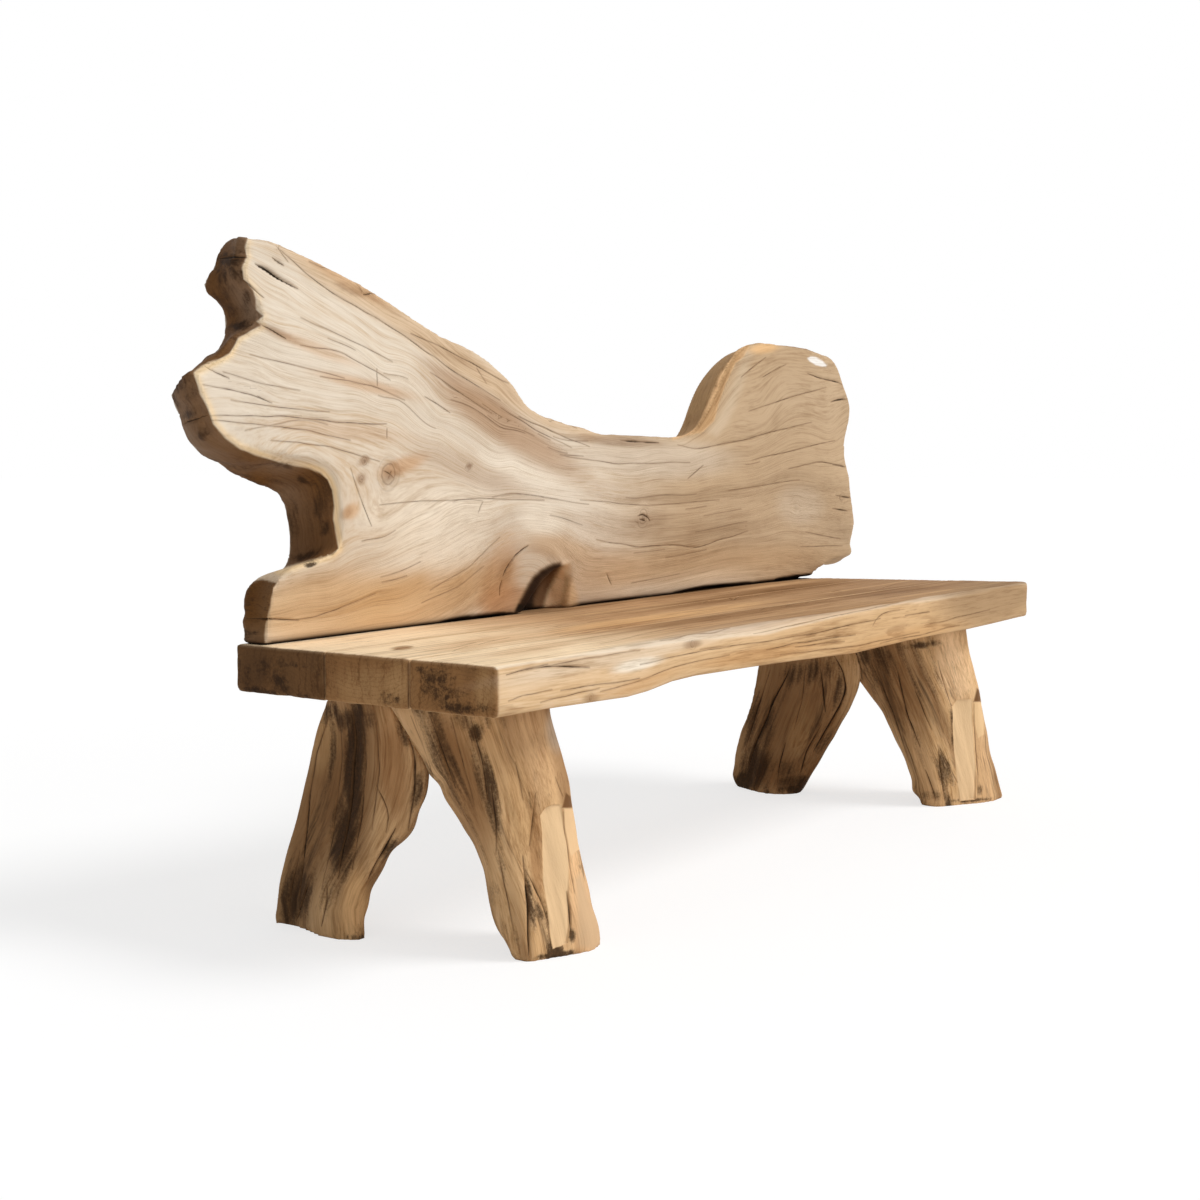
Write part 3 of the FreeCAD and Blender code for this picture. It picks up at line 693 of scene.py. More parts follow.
def grown(nodes, wood, base, lines):
    """Growth lines, thin and darker, crowding and fading along the grain, and short flecks."""
    across = nodes.add("ShaderNodeSeparateXYZ", Vector=wood.grain).outputs["Y"]
    wavy = nodes.scaled(wood.band, 17.0, nodes.times(across, 420.0))
    growth = nodes.waves(nodes.scaled(wood.streak, 5.0, wavy), 0.72)
    patchy = nodes.ramp(nodes.noise(wood.grain, (4, 30, 30), 3, 0.6), 0.42, 0.62)
    growth = nodes.times(growth, patchy, lines, nodes.rest(wood.plain))
    base = nodes.darken(growth, base, (0.40, 0.30, 0.20))
    fleck = nodes.ramp(nodes.noise(wood.grain, (17, 230, 230), 2, 0.5), 0.66, 0.74)
    fleck = nodes.times(fleck, 0.75 * lines, nodes.rest(wood.plain))
    return nodes.darken(fleck, base, (0.42, 0.32, 0.22)), growth


def ringed(nodes, wood, base):
    """Year rings on sawn ends and round knots."""
    rings = nodes.waves(nodes.scaled(wood.blotch, 22.0, nodes.times(nodes.attribute("rings"), 1100.0)), 0.3)
    faded = nodes.times(nodes.ramp(wood.speck, 0.35, 0.6), 0.22)
    base = nodes.mix(nodes.times(rings, nodes.attribute("end"), faded), base, UMBER)
    knot = nodes.attribute("knot")
    rings = nodes.scaled(wood.speck, 3.0, nodes.scaled(wood.blotch, 14.0, nodes.times(knot, 21.0)))
    return nodes.mix(nodes.times(nodes.waves(rings, 0.2), nodes.ramp(knot, 0.1, 0.6), 0.28), base, UMBER)


def soiled_and_shaded(nodes, wood, base, dirt, mottling):
    """Mottled dirt and painted shade, drawn out along the grain, with long streaks of dirt where dirt
    isn't 0.
    """
    drawn = nodes.noise(wood.grain, (8, 70, 70), 3, 0.6, 0.3)
    mottle = nodes.scaled(drawn, 1.3, nodes.scaled(wood.speck, mottling, -0.65 - 0.5 * mottling))
    share = nodes.times(nodes.ramp(nodes.plus(wood.grime_and_shade, mottle), 0.30, 0.92), 0.92)
    if dirt:
        streaks = nodes.noise(wood.grain, (2.6, 30, 30), 6, 0.7, 0.6)
        streaks = nodes.plus(streaks, nodes.calculate("MINIMUM", wood.grime_and_shade, 0.0))
        share = nodes.calculate("MAXIMUM", share, nodes.times(nodes.ramp(streaks, 0.53, 0.72), dirt))
    return nodes.mix(share, base, nodes.mix(nodes.ramp(wood.speck, 0.30, 0.70), SOOT_AND_SHADOW, colour(66, 43, 25)))


def cracked(nodes, wood, base):
    """Cracks, dark where they are open, each with a brown halo. The piece stores three layers of them."""
    sides, widths = (
        nodes.add("ShaderNodeSeparateXYZ", Vector=nodes.attribute(name, "Vector")).outputs
        for name in ("crack_side", "crack_width"))
    layers = [
        nodes.calculate("SUBTRACT", width, nodes.calculate("ABSOLUTE", side))
        for side, width in zip(sides, widths)]
    gap = nodes.calculate("MAXIMUM", nodes.calculate("MAXIMUM", layers[0], layers[1]), layers[2])
    frayed = nodes.scaled(nodes.calculate("SUBTRACT", wood.fibre, 0.5), 0.0008, gap)
    crack = nodes.ramp(frayed, -0.0004, 0.0004)
    base = nodes.mix(nodes.times(nodes.ramp(gap, -0.0026, 0.0), 0.30), base, BROWN)
    shut = nodes.ramp(nodes.noise(wood.place, (28, 28, 28), 3, 0.6), 0.40, 0.58)
    open_share = nodes.calculate("MAXIMUM", nodes.scaled(shut, 0.48, 0.24), nodes.ramp(gap, 0.0003, 0.0010))
    return nodes.mix(nodes.times(crack, nodes.times(open_share, 0.95)), base, CRACK), crack


def wooden(name, stops, bands=0.6, streaks=1.0, dirt=0.0, lines=0.5, bump=0.35, mottling=0.8):
    """Weathered wood: bands, streaks, growth lines and fibres along the grain, knots, dirt with painted
    shade, and cracks.
    """
    material, nodes = new_material(name)
    grain = nodes.attribute("grain", "Vector")
    place = nodes.place()
    wood = SimpleNamespace(
        grain=grain,
        place=place,
        grime_and_shade=nodes.attribute("grime_and_shade"),
        band=nodes.noise(grain, (1.6, 16, 12), 3, 0.55, 0.5),
        streak=nodes.noise(grain, (3.4, 95, 70), 5, 0.68, 0.3),
        fibre=nodes.noise(grain, (11, 340, 300), 3, 0.7),
        blotch=nodes.noise(place, (9, 9, 9), 4, 0.6),
        speck=nodes.noise(place, (230, 230, 230), 4, 0.75),
    )
    # Dirt below 0 stands for a face that stays plain: the legs' cut faces painted as sunlit, the seat's
    # top where it is painted as lit, and the quiet part above the slab's hollow
    wood.plain = nodes.times(wood.grime_and_shade, -1.5, clamp=True)
    base = weathered(nodes, wood, stops, bands, streaks)
    base, growth = grown(nodes, wood, base, lines)
    base = soiled_and_shaded(nodes, wood, ringed(nodes, wood, base), dirt, mottling)
    base, crack = cracked(nodes, wood, base)
    height = nodes.times(wood.streak, 0.5)
    for value, share in ((wood.fibre, 0.4), (wood.speck, 0.12), (growth, -0.25), (crack, -0.9)):
        height = nodes.scaled(value, share, height)
    nodes.finish(
        Base_Color=base, Roughness=nodes.scaled(wood.streak, 0.3, 0.59),
        Normal=nodes.bump(height, bump, 0.0035), Specular_IOR_Level=0.08)
    return material


def turned_wood():
    """Dowels: pale hardwood with fine straight grain along their length."""
    material, nodes = new_material("dowel_wood")
    place = nodes.place()
    grain = nodes.noise(place, (420, 22, 420), 4, 0.6, 0.2)
    cloud = nodes.noise(place, (30, 8, 30), 3)
    tone = nodes.scaled(grain, 0.6, nodes.times(cloud, 0.4))
    nodes.finish(
        Base_Color=nodes.colour_ramp(tone, [(0.3, OCHRE), (0.5, TAN), (0.72, PALE)]),
        Roughness=nodes.scaled(grain, 0.2, 0.45),
        Normal=nodes.bump(grain, 0.25, 0.0006), Specular_IOR_Level=0.3)
    return material


def galvanised_steel():
    """Screws and washers: zinc with fine spangle and a few dull patches."""
    material, nodes = new_material("galvanised_steel")
    place = nodes.place()
    spangle = nodes.add("ShaderNodeTexVoronoi", Vector=nodes.stretched(place, (320, 320, 320)), Scale=1.0)
    cloud = nodes.noise(place, (90, 90, 90), 4, 0.6)
    zinc = nodes.colour_ramp(cloud, [(0.35, (0.2, 0.2, 0.21)), (0.7, (0.48, 0.49, 0.5))])
    base = nodes.mix(0.25, zinc, spangle.outputs["Color"])
    nodes.finish(
        Base_Color=nodes.add("ShaderNodeHueSaturation", Saturation=0.12, Color=base).outputs[0],
        Metallic=0.9, Roughness=nodes.scaled(cloud, 0.35, 0.25), Normal=nodes.bump(cloud, 0.15, 0.0003))
    return material


MATERIALS = {
    "slab": wooden(
        "backrest_wood", [(0.05, OCHRE), (0.34, TAN), (0.6, PALE), (0.9, CREAM)],
        bands=0.4, streaks=0.36, lines=0.16),
    "seat": wooden(
        "seat_wood", [(0.05, OCHRE), (0.42, TAN), (0.72, PALE), (0.98, CREAM)],
        streaks=0.8, lines=0.45, mottling=1.3),
    "leg": wooden(
        "leg_wood", [(0.1, BROWN), (0.42, OCHRE), (0.75, TAN), (0.95, PALE)],
        bands=0.8, streaks=0.75, dirt=0.85, lines=0.35, bump=0.42),
    "dowel": turned_wood(),
    "steel": galvanised_steel(),
}


# The slab backrest

# Lines that the grain follows, in pixels, with their share of the way from the top edge to the foot
GRAIN_LINES = [
    (0.00, [(255, 240), (300, 255), (362, 286), (441, 334), (510, 382), (543, 414), (595, 430), (676, 438),
            (703, 432), (720, 406), (737, 370), (765, 352), (790, 347)]),
    (0.06, [(262, 252), (306, 274), (369, 314), (407, 338), (458, 374), (500, 401), (540, 424), (600, 441),
            (670, 444), (705, 440), (730, 415), (755, 385), (790, 368), (835, 372)]),
    (0.12, [(255, 264), (298, 289), (340, 318), (400, 358), (450, 392), (500, 420), (545, 438), (600, 452),
            (677, 452), (720, 444), (775, 425), (845, 400)]),
    (0.20, [(262, 318), (290, 330), (340, 345), (392, 375), (450, 415), (510, 445), (570, 462), (640, 468),
            (700, 465), (760, 452), (840, 436)]),
    (0.33, [(235, 345), (270, 356), (320, 376), (371, 387), (405, 400), (450, 430), (520, 462), (580, 480),
            (650, 486), (720, 478), (790, 462), (845, 458)]),
    (0.44, [(210, 415), (284, 416), (346, 423), (387, 430), (430, 450), (480, 472), (530, 484)]),
    (0.52, [(308, 462), (330, 472), (346, 490), (352, 512), (354, 535), (346, 554), (322, 565)]),
    (0.60, [(250, 600), (300, 592), (350, 580), (400, 560), (450, 535), (500, 512), (550, 506), (600, 515),
            (660, 522), (740, 512), (790, 500), (848, 498)]),
    (0.78, [(265, 620), (330, 610), (400, 590), (450, 570), (490, 545), (520, 526), (550, 524), (580, 537),
            (620, 549), (680, 547), (748, 533), (800, 522), (850, 522)]),
    (0.92, [(270, 638), (350, 628), (430, 612), (480, 587), (505, 560), (530, 541), (555, 542), (576, 560),
            (600, 576), (650, 573), (720, 560), (790, 547), (848, 547)]),
]

# Cracks in the slab's face and sides: width and depth in millimetres, and their course in pixels
BACKREST_CRACKS = [
    (1.3, 3.0, [(276, 246), (306, 274), (342, 300), (369, 314), (407, 338), (458, 374), (500, 401)]),
    (4.6, 6.0, [(255, 263), (270, 272), (285, 281), (298, 289)]),
    (1.8, 4.0, [(272, 257), (284, 266)]),
    (1.5, 4.0, [(244, 281), (264, 298)]),
    (1.2, 3.0, [(205, 369), (229, 378)]),
    (1.1, 3.0, [(202, 385), (250, 394), (272, 403)]),
    (1.1, 3.0, [(210, 415), (284, 416.5), (346, 423), (387, 424)]),
    (0.9, 2.5, [(212, 420), (306, 430), (351, 441)]),
    (1.0, 2.5, [(257, 396), (270, 403)]),
    (1.1, 3.0, [(351, 468), (360, 495), (372, 526)]),
    (0.9, 2.5, [(476, 367), (486, 383)]),
    (0.8, 2.0, [(376, 368), (377, 387)]),
    (0.8, 2.0, [(387, 428), (387, 438)]),
    (0.8, 2.0, [(380, 505), (430, 501), (480, 499), (545, 500)]),
    (0.9, 2.5, [(484, 501), (478, 513)]),
    (0.8, 2.0, [(320, 376), (371, 385), (405.6, 400)]),
    (3.2, 5.0, [(620, 440), (640, 441), (659, 443)]),
    (1.3, 3.0, [(410, 333), (440, 346), (470, 362), (506, 384)]),
    (1.0, 2.5, [(308, 262), (340, 277), (366, 292)]),
    (2.6, 2.5, [(367, 293), (372, 297)]),
    (1.1, 2.5, [(424, 397), (436, 404), (450, 413)]),
    (1.0, 2.5, [(518, 416), (551, 431), (590, 447)]),
    (0.9, 2.0, [(500, 408), (536, 430), (572, 448)]),
    (1.2, 3.0, [(536, 404), (556, 416), (578, 427)]),
    (1.0, 2.5, [(275, 244), (281, 253), (288, 262)]),
    (0.8, 2.0, [(430, 372), (462, 394), (492, 414)]),
    (1.3, 4.0, [(677, 445), (697, 449), (735, 442), (812, 422)]),
    (1.1, 3.0, [(752, 460), (790, 451), (835, 440)]),
    (1.1, 3.0, [(788, 469), (822, 461), (847, 467)]),
    (1.4, 3.5, [(740, 378), (766, 357)]),
    (1.2, 3.0, [(762, 377), (785, 365)]),
    (1.1, 3.0, [(748, 412), (783, 400), (825, 387)]),
    (0.9, 2.0, [(728, 491), (800, 480)]),
    (1.2, 3.0, [(688, 479), (704, 465)]),
    (1.2, 3.5, [(596, 540), (637, 547), (680, 545), (696, 548), (748, 531)]),
    (1.0, 3.0, [(606, 573), (611, 585)]),
    (2.2, 4.0, [(805, 374), (822, 379), (843, 384)]),
    (2.6, 4.0, [(829, 402), (838, 399), (847, 398)]),
    (1.7, 2.0, [(832, 465), (841, 466.5), (849, 468)]),
    (2.4, 2.0, [(836, 495.5), (844, 497), (851, 498)]),
    (1.9, 3.0, [(797, 350.5), (802, 351.5), (807, 353)]),
    (2.2, 1.0, [(832, 509), (847, 511)]),
    (1.2, 0.5, [(805, 532), (840, 539)]),
    (1.2, 0.5, [(800, 547), (842, 546)]),
    (1.9, 6.0, [(245, 618.5), (268, 619.6), (300, 620)]),
    (0.9, 2.5, [(296, 620), (317, 617), (338, 609), (376, 594)]),
    (3.4, 5.0, [(528, 544.5), (517, 554.5), (508, 567), (502.5, 576)]),
    (2.2, 3.0, [(501.5, 580), (500, 588), (499, 595)]),
    (1.5, 1.0, [(384.5, 471.5), (389, 474), (394, 478)]),
    (1.3, 1.0, [(391.5, 470), (388, 478.5)]),
    (2.4, 2.5, [(637, 515.5), (642, 514), (647, 516.5), (650, 521)]),
    (1.8, 1.5, [(639, 519), (645, 521)]),
    (1.8, 3.0, [(258, 324), (270, 329), (286, 339)]),
    (3.8, 3.0, [(222, 261), (234, 259), (247, 257)]),
    (2.0, 5.0, [(184, 422), (208, 415)]),
    (0.8, 2.0, [(300, 345), (340, 352), (390, 380)]),
    (0.7, 2.0, [(270, 440), (330, 446), (380, 462)]),
    (0.7, 2.0, [(430, 590), (470, 566), (500, 536)]),
    (0.7, 2.0, [(560, 455), (620, 464), (690, 462)]),
    (0.7, 2.0, [(580, 500), (650, 506), (720, 500)]),
    (0.7, 2.0, [(300, 318), (350, 340), (392, 362)]),
    (0.7, 2.0, [(250, 355), (300, 366), (345, 378)]),
    (0.7, 2.0, [(222, 372), (262, 384), (300, 390)]),
    (0.7, 2.0, [(230, 400), (280, 408), (330, 412)]),
]

# The slab's knots: pixel, radius in metres and strength
BACKREST_KNOTS = [
    ((389, 474.6), 0.017, 0.85), ((365, 461), 0.006, 0.9), ((362, 479), 0.005, 0.9),
    ((469, 467), 0.005, 0.9), ((643, 517), 0.013, 0.9), ((796, 507), 0.012, 0.3),
    ((842, 497.5), 0.009, 0.6), ((204, 429), 0.009, 0.6), ((302, 480), 0.010, 0.5),
    ((349, 514), 0.005, 0.35),
]

# Patches of colour on the slab: centre and radii in pixels, angle, colour and strength. One is a
# painted highlight above the hollow, and the amber ones low on the left are partly painted light
BACKREST_SPOTS = [
    ((330, 330), (95, 34), 28, CREAM, 0.12),
    ((412, 508), (46, 24), -12, CREAM, 0.6),
    # The two amber patches are partly painted light, brightening the shaded lower left
    ((322, 608), (90, 34), -8, AMBER, 0.85),
    ((425, 598), (80, 30), -16, AMBER, 0.9),
    ((440, 527), (56, 26), -32, CREAM, 0.7),
    ((458, 553), (34, 14), -40, CREAM, 0.6),
    ((530, 470), (52, 18), 18, CREAM, 0.45),
    # Painted highlight on the bulge above the hollow
    ((541, 520), (20, 14), 20, CREAM, 0.9),
    ((668, 460), (60, 18), 0, PALE, 0.6),
    ((508, 430), (85, 16), 33, colour(156, 114, 72), 0.68),
    ((470, 470), (60, 12), 24, ROSE_BROWN, 0.3),
    ((345, 281), (48, 6), 32, GOLD, 0.4),
    ((365, 385), (50, 6), 14, GOLD, 0.45),
    ((278, 333), (24, 4), 26, BROWN, 0.5),
    ((312, 347), (44, 6), 22, GOLD, 0.35),
    ((506, 571), (6, 13), 25, BROWN, 0.5),
    ((402, 466), (24, 8), -20, GOLD, 0.6),
    ((338, 430), (70, 9), 6, GOLD, 0.25),
    ((352, 511), (10, 7), -50, colour(196, 148, 96), 0.6),
    ((500, 575), (16, 40), 14, GOLD, 0.45),
    ((602, 578), (40, 26), -6, colour(196, 164, 128), 0.6),
    ((560, 548), (34, 12), 12, colour(206, 172, 132), 0.6),
    ((505, 602), (24, 18), -12, colour(184, 138, 96), 0.85),
    ((680, 585), (80, 12), -8, PALE, 0.45),
    ((700, 565), (110, 18), -4, TAN, 0.5),
    ((620, 441), (46, 5), 4, BROWN, 0.5),
    ((348, 290), (16, 3), 26, BROWN, 0.5), ((440, 352), (44, 4), 28, BROWN, 0.2),
    ((470, 390), (56, 7), 32, ROSE_BROWN, 0.55),
    ((764, 348), (14, 5), -8, HONEY, 0.9),
    ((800, 505), (22, 18), 0, PALE, 0.35),
    ((364, 461), (7, 4), -35, RUSSET, 0.5), ((362, 479), (5, 6), 20, RUSSET, 0.5),
    ((469, 467), (3, 2), 0, BROWN, 0.8),
    ((347, 513), (8, 5), -50, RUSSET, 0.4),
    ((648, 520), (20, 7), -12, BROWN, 0.3),
]

# Dirt on the slab's sides: centre and radii in pixels, angle and strength
SLAB_DIRT = [
    ((232, 262), (16, 9), -8, 0.95), ((221, 276), (9, 14), 10, 0.75), ((246, 300), (7, 16), 0, 0.8),
    ((240, 326), (16, 6), -14, 0.8), ((216, 300), (10, 8), 0, 0.6), ((182, 385), (8, 12), 20, 0.75),
    ((190, 414), (14, 6), -14, 0.7), ((206, 432), (7, 7), 0, 0.7), ((178, 402), (6, 14), 0, 0.6),
    ((303, 479), (11, 5), 36, 1.0), ((311, 484), (8, 4), 50, 0.85), ((318, 505), (9, 20), -6, 0.75),
    ((325, 529), (5, 11), 10, 0.95), ((321, 518), (4, 15), -8, 0.8), ((308, 556), (20, 7), -18, 0.8),
    ((296, 520), (8, 30), 0, 0.55), ((252, 600), (6, 20), 0, 0.5), ((250, 634), (12, 8), 0, 0.7),
    ((280, 466), (22, 6), 14, 0.6), ((311, 565), (8, 3), -15, 1.1), ((232, 292), (14, 12), 0, 0.6),
    ((238, 250), (10, 6), 0, 0.5),
]

# Above the hollow the growth lines fade: pixel and radii in pixels
QUIET_PLACE, QUIET_RADII = (534, 548), (44, 26)

# How far behind the slab's face the rotted hollow is coloured, in metres
HOLLOW_REACH = 0.095

# The left part of the hollow's edge, in pixels
HOLLOW_RIM = [(515, 612), (520, 600), (528, 585), (534, 576.5), (543, 569), (553, 564.5), (559, 563)]

# Colours in the rotted hollow, mostly painted light and shade: its soft right edge and lit ridge, its
# shaded dark left and its floor in painted shadow, and a painted highlight at its top corner: outline in
# pixels, colour, strength and softness
HOLLOW_LIGHT_AND_SHADE = [
    (HOLLOW_RIM + [(564, 568), (571, 582), (576, 598), (575, 606), (545, 612)],
     colour(214, 180, 138), 0.75, 6.0),
    ([(561.5, 568), (565, 570), (564, 585), (561, 598), (557, 609), (544, 610), (548, 596), (553, 584)],
     colour(250, 214, 172), 0.85, 3.4),
    ([(567, 571), (571, 580), (577, 596), (576, 604), (566, 605), (562, 607), (564, 592), (566, 580)],
     colour(206, 170, 128), 0.65, 4.0),
    (HOLLOW_RIM + [(561.5, 566.5), (556, 576), (548, 590), (542, 612)], colour(100, 66, 38), 0.9, 3.0),
    (HOLLOW_RIM + [(561.5, 566), (553, 571.5), (543, 579), (537, 590), (534, 600), (532, 612)],
     colour(40, 25, 15), 0.97, 3.4),
    ([(515, 613), (518, 604), (530, 605.5), (544, 607), (548, 612)], SOOT_AND_SHADOW, 0.95, 1.6),
    ([(562.5, 562), (569, 562), (571, 567), (570, 574), (567, 577), (564, 570)],
     colour(255, 232, 200), 0.85, 3.0),
]

# Between the top edge and the long crack below it
TOP_BAND = [
    (268, 236), (300, 250), (362, 282), (441, 330), (510, 378), (543, 410), (600, 428), (640, 432),
    (590, 441), (545, 428), (500, 401), (458, 374), (407, 338), (369, 314), (342, 300), (306, 274),
    (276, 246),
]

# Places that the hair cracks keep clear of: pixel and radius in pixels
CLEAR_OF = [
    ((365, 490), 48), ((330, 520), 30), ((545, 575), 52), ((645, 517), 16), ((800, 410), 62),
    ((815, 500), 56),
]

# Where the outline stands further out than the solid: pixel, radius in pixels, millimetres
BACKREST_PUSHES = [
    ((222, 249), 15, 13), ((207, 290), 12, 6), ((173, 396), 16, 6), ((195, 450), 20, 6),
    ((236, 478), 18, 7), ((224, 325), 16, 5), ((200, 360), 18, 4), ((287, 530), 34, 6),
    ((246, 600), 14, 6), ((380, 298), 60, 5), ((512, 385), 20, 6), ((815, 356), 26, 6),
    ((700, 385), 30, 6), ((848, 400), 30, 4), ((246, 622), 12, 9), ((849, 532), 16, 9),
    ((824, 567), 9, 7), ((812, 352), 30, 3), ((205, 445), 24, 3), ((190, 425), 20, 4),
    ((345, 268), 40, 2),
]

# The sides that the photograph shows: left lobe, tip and notch, and the foot, painted brown partly as
# bark and partly as shade; the right lobe, painted bright against its shade
LEFT_ARRIS = [
    (338.4, 548.5), (335.7, 533), (333, 520), (334, 506), (332, 490), (327.5, 480.3), (320.4, 472.8),
    (308.5, 468.4), (284.7, 464), (263, 457), (240, 448.4), (225, 438), (213, 424), (207.7, 409),
    (200, 392.5), (193.6, 374), (213, 363), (229.4, 353), (238, 337.7), (250, 331), (260.8, 325.8),
    (256.5, 321.5), (263, 316), (256, 309.6), (256, 299), (253, 290), (243.5, 279), (242, 268),
    (246.7, 256), (244.6, 248), (247.8, 238),
]
LEFT_SIDE = LEFT_ARRIS + [
    (247.8, 232), (218, 240), (204, 260), (196, 285), (200, 304), (214, 316), (216, 334), (200, 352),
    (180, 372), (160, 392), (165, 410), (176, 430), (184, 450), (196, 464), (212, 470), (224, 478),
    (250, 492), (270, 500), (276, 510), (279, 524), (281, 552), (280, 570), (300, 563.5), (314.6, 559.4),
    (332, 554),
]
FOOT_ARRIS = [(276.6, 583), (273.4, 587.6), (270, 607), (265, 625.5), (264.7, 646)]
FOOT_SIDE = FOOT_ARRIS + [(236, 646), (236, 592), (248.4, 583.5), (262, 579)]
RIGHT_SIDE = [
    (672, 440), (680, 425), (695, 388), (708, 362), (724, 350), (742, 342), (749, 346), (744, 356),
    (735, 363), (725, 384), (718, 403.5), (713, 421), (703, 431), (680, 438),
]

# A pale chip on the right lobe
CHIP = [
    (804.2, 358.4), (807, 357.2), (812.4, 358.4), (818.6, 361.4), (823.6, 364.8), (824.2, 366.6),
    (819.6, 366.8), (812.6, 365.2), (806.6, 361.6),
]

# The gleam beside the right lobe's side
LOBE_GLEAM = [
    (746, 352), (739, 366), (732, 384), (724, 404), (714, 423), (706, 431), (716, 436), (727, 422),
    (736, 402), (743, 382), (749, 366), (753, 355),
]

# Where daylight or shadow shows under the slab's foot, with the seat's top painted as shadow there: its
# height in millimetres and the span in pixels
FOOT_GAPS = [
    (4.0, (440, 622.5), (507, 615.7)), (1.8, (512, 614), (545, 610)), (1.4, (560, 608), (650, 597)),
    (6.0, (672, 595), (752, 584)), (2.0, (738, 585.5), (786, 580)), (6.5, (774, 581), (822, 576.5)),
]


def slab_flow():
    """A field on the slab's face whose level lines run along the grain."""
    lines = [plane_points(pixels, 1, BACK_FRONT)[:, [0, 2]] for share, pixels in GRAIN_LINES]
    levels = [np.full(len(line), row[0] * BACK_RISE) for line, row in zip(lines, GRAIN_LINES)]
    return thin_plate(np.concatenate(lines), np.concatenate(levels), 0.00002)


def flow_lines(tree, field, count, seed, facing, rise):
    """Lines along the grain: on the slab's face if facing is 1, on its back if -1."""
    middle = 0.5 * (BACK_FRONT + BACK_REAR)

    def shots(index):
        height = SEAT_TOP + 0.03 + rise * chance(seed + 1, index)
        at = np.array([-0.88 + 1.76 * chance(seed, index), height])
        for step in range(int(6 + 24 * chance(seed + 2, index) ** 2)):
            yield Vector((at[0], -facing, at[1])), Vector((0, facing, 0))
            around = field(np.array([at, at + (0.004, 0), at + (0, 0.004)]))
            slope = around[1:] - around[0]
            way = np.array([-slope[1], slope[0]])
            way = way / max(np.linalg.norm(way), 1e-9)
            at = at + 0.012 * way * (1 if way[0] > 0 else -1)

    return cast_lines(tree, map(shots, range(count)), 3, lambda hit: facing * (hit[0].y - middle) <= 0)


def keeps_clear(line):
    """True if a line on the slab stays away from the knots and the hollow."""
    pixels = to_photo(line)
    return all(
        np.linalg.norm(pixels - np.array(centre), axis=1).min() > radius for centre, radius in CLEAR_OF)


def foot_front(tree):
    """Where the slab's face meets the seat: places along the seat and how far back they are."""
    along = []
    back = []
    for at in np.arange(-0.80, 0.96, 0.01):
        hit = tree.ray_cast(Vector((at, -1, SEAT_TOP + 0.006)), Vector((0, 1, 0)))
        if hit[0] is not None:
            along.append(at)
            back.append(hit[0].y)
    return np.array(along), np.array(back)


def foot_span(start, stop, foot_line):
    """Places along the seat at which the slab's foot shows between two pixels."""
    ends = []
    for pixel in (start, stop):
        back = BACK_FRONT
        for turn in range(4):
            along = plane_points([pixel], 1, back)[0][0]
            back = float(np.interp(along, *foot_line))
        ends.append(along)
    return ends


def raise_foot(places, foot_line):
    """Lifts the lower front edge where a dark gap shows between slab and seat."""
    depth = places[:, 1] - np.interp(places[:, 0], *foot_line)
    for height, start, stop in FOOT_GAPS:
        span = foot_span(start, stop, foot_line)
        share = np.clip((places[:, 0] - span[0]) / (span[1] - span[0]), 0, 1)
        along = (4 * share * (1 - share)) ** 0.7
        low = 1 - smooth_step(0.0, 0.035, places[:, 2] - SEAT_TOP)
        front = 1 - smooth_step(0.014, 0.032, depth)
        places[:, 2] += height * MILLIMETRE * along * low * front


def slab_areas(carving):
    """Parts of the slab as shares from 0 to 1: rim and sides, the left sides that are painted brown,
    partly as shade, and the upper edge.
    """
    normals = carving.normals
    rim = 1 - np.abs(normals[:, 1])
    side = smooth_step(0.45, 0.65, rim)
    brown = np.maximum(carving.outlined(LEFT_SIDE, 1.1), carving.outlined(FOOT_SIDE, 1.1))
    left = np.where(carving.seen, brown, smooth_step(0.25, 0.6, -normals[:, 0]) * side)
    return SimpleNamespace(rim=rim, side=side, left=left, upper=smooth_step(0.3, 0.8, normals[:, 2]) * side)


def carve_slab(carving, grain, area, cracks, foot_line):
    """Broad waves along the grain, fine ridges, a rougher live edge, the cracks and the foot."""
    places, normals = carving.places, carving.normals
    calm = 1 - 0.7 * smooth_step(0.84, 0.9, places[:, 0])
    calm *= 1 - 0.85 * smooth_step(0.70, 0.74, -places[:, 0]) * (1 - smooth_step(0.53, 0.56, places[:, 2]))
    carving.relief(
        11, (1, 2.2, grain, (0.30, 0.045, 0.08)), (1, 0.8, grain, (0.12, 0.011, 0.02)),
        (area.side * calm, 2.2, places, (0.06, 0.04, 0.06)),
        (area.side * calm, 0.9, places, (0.016, 0.03, 0.016)),
        (area.left * calm, 2.2, places, (0.02, 0.05, 0.013)))
    carving.open_cracks(cracks)
    standing = (normals[:, 2] < -0.5) & (places[:, 2] < SEAT_TOP + 0.008)
    carving.moved[standing] = np.maximum(carving.moved[standing], 0.0002)
    raise_foot(places, foot_line)
    carving.push(BACKREST_PUSHES)


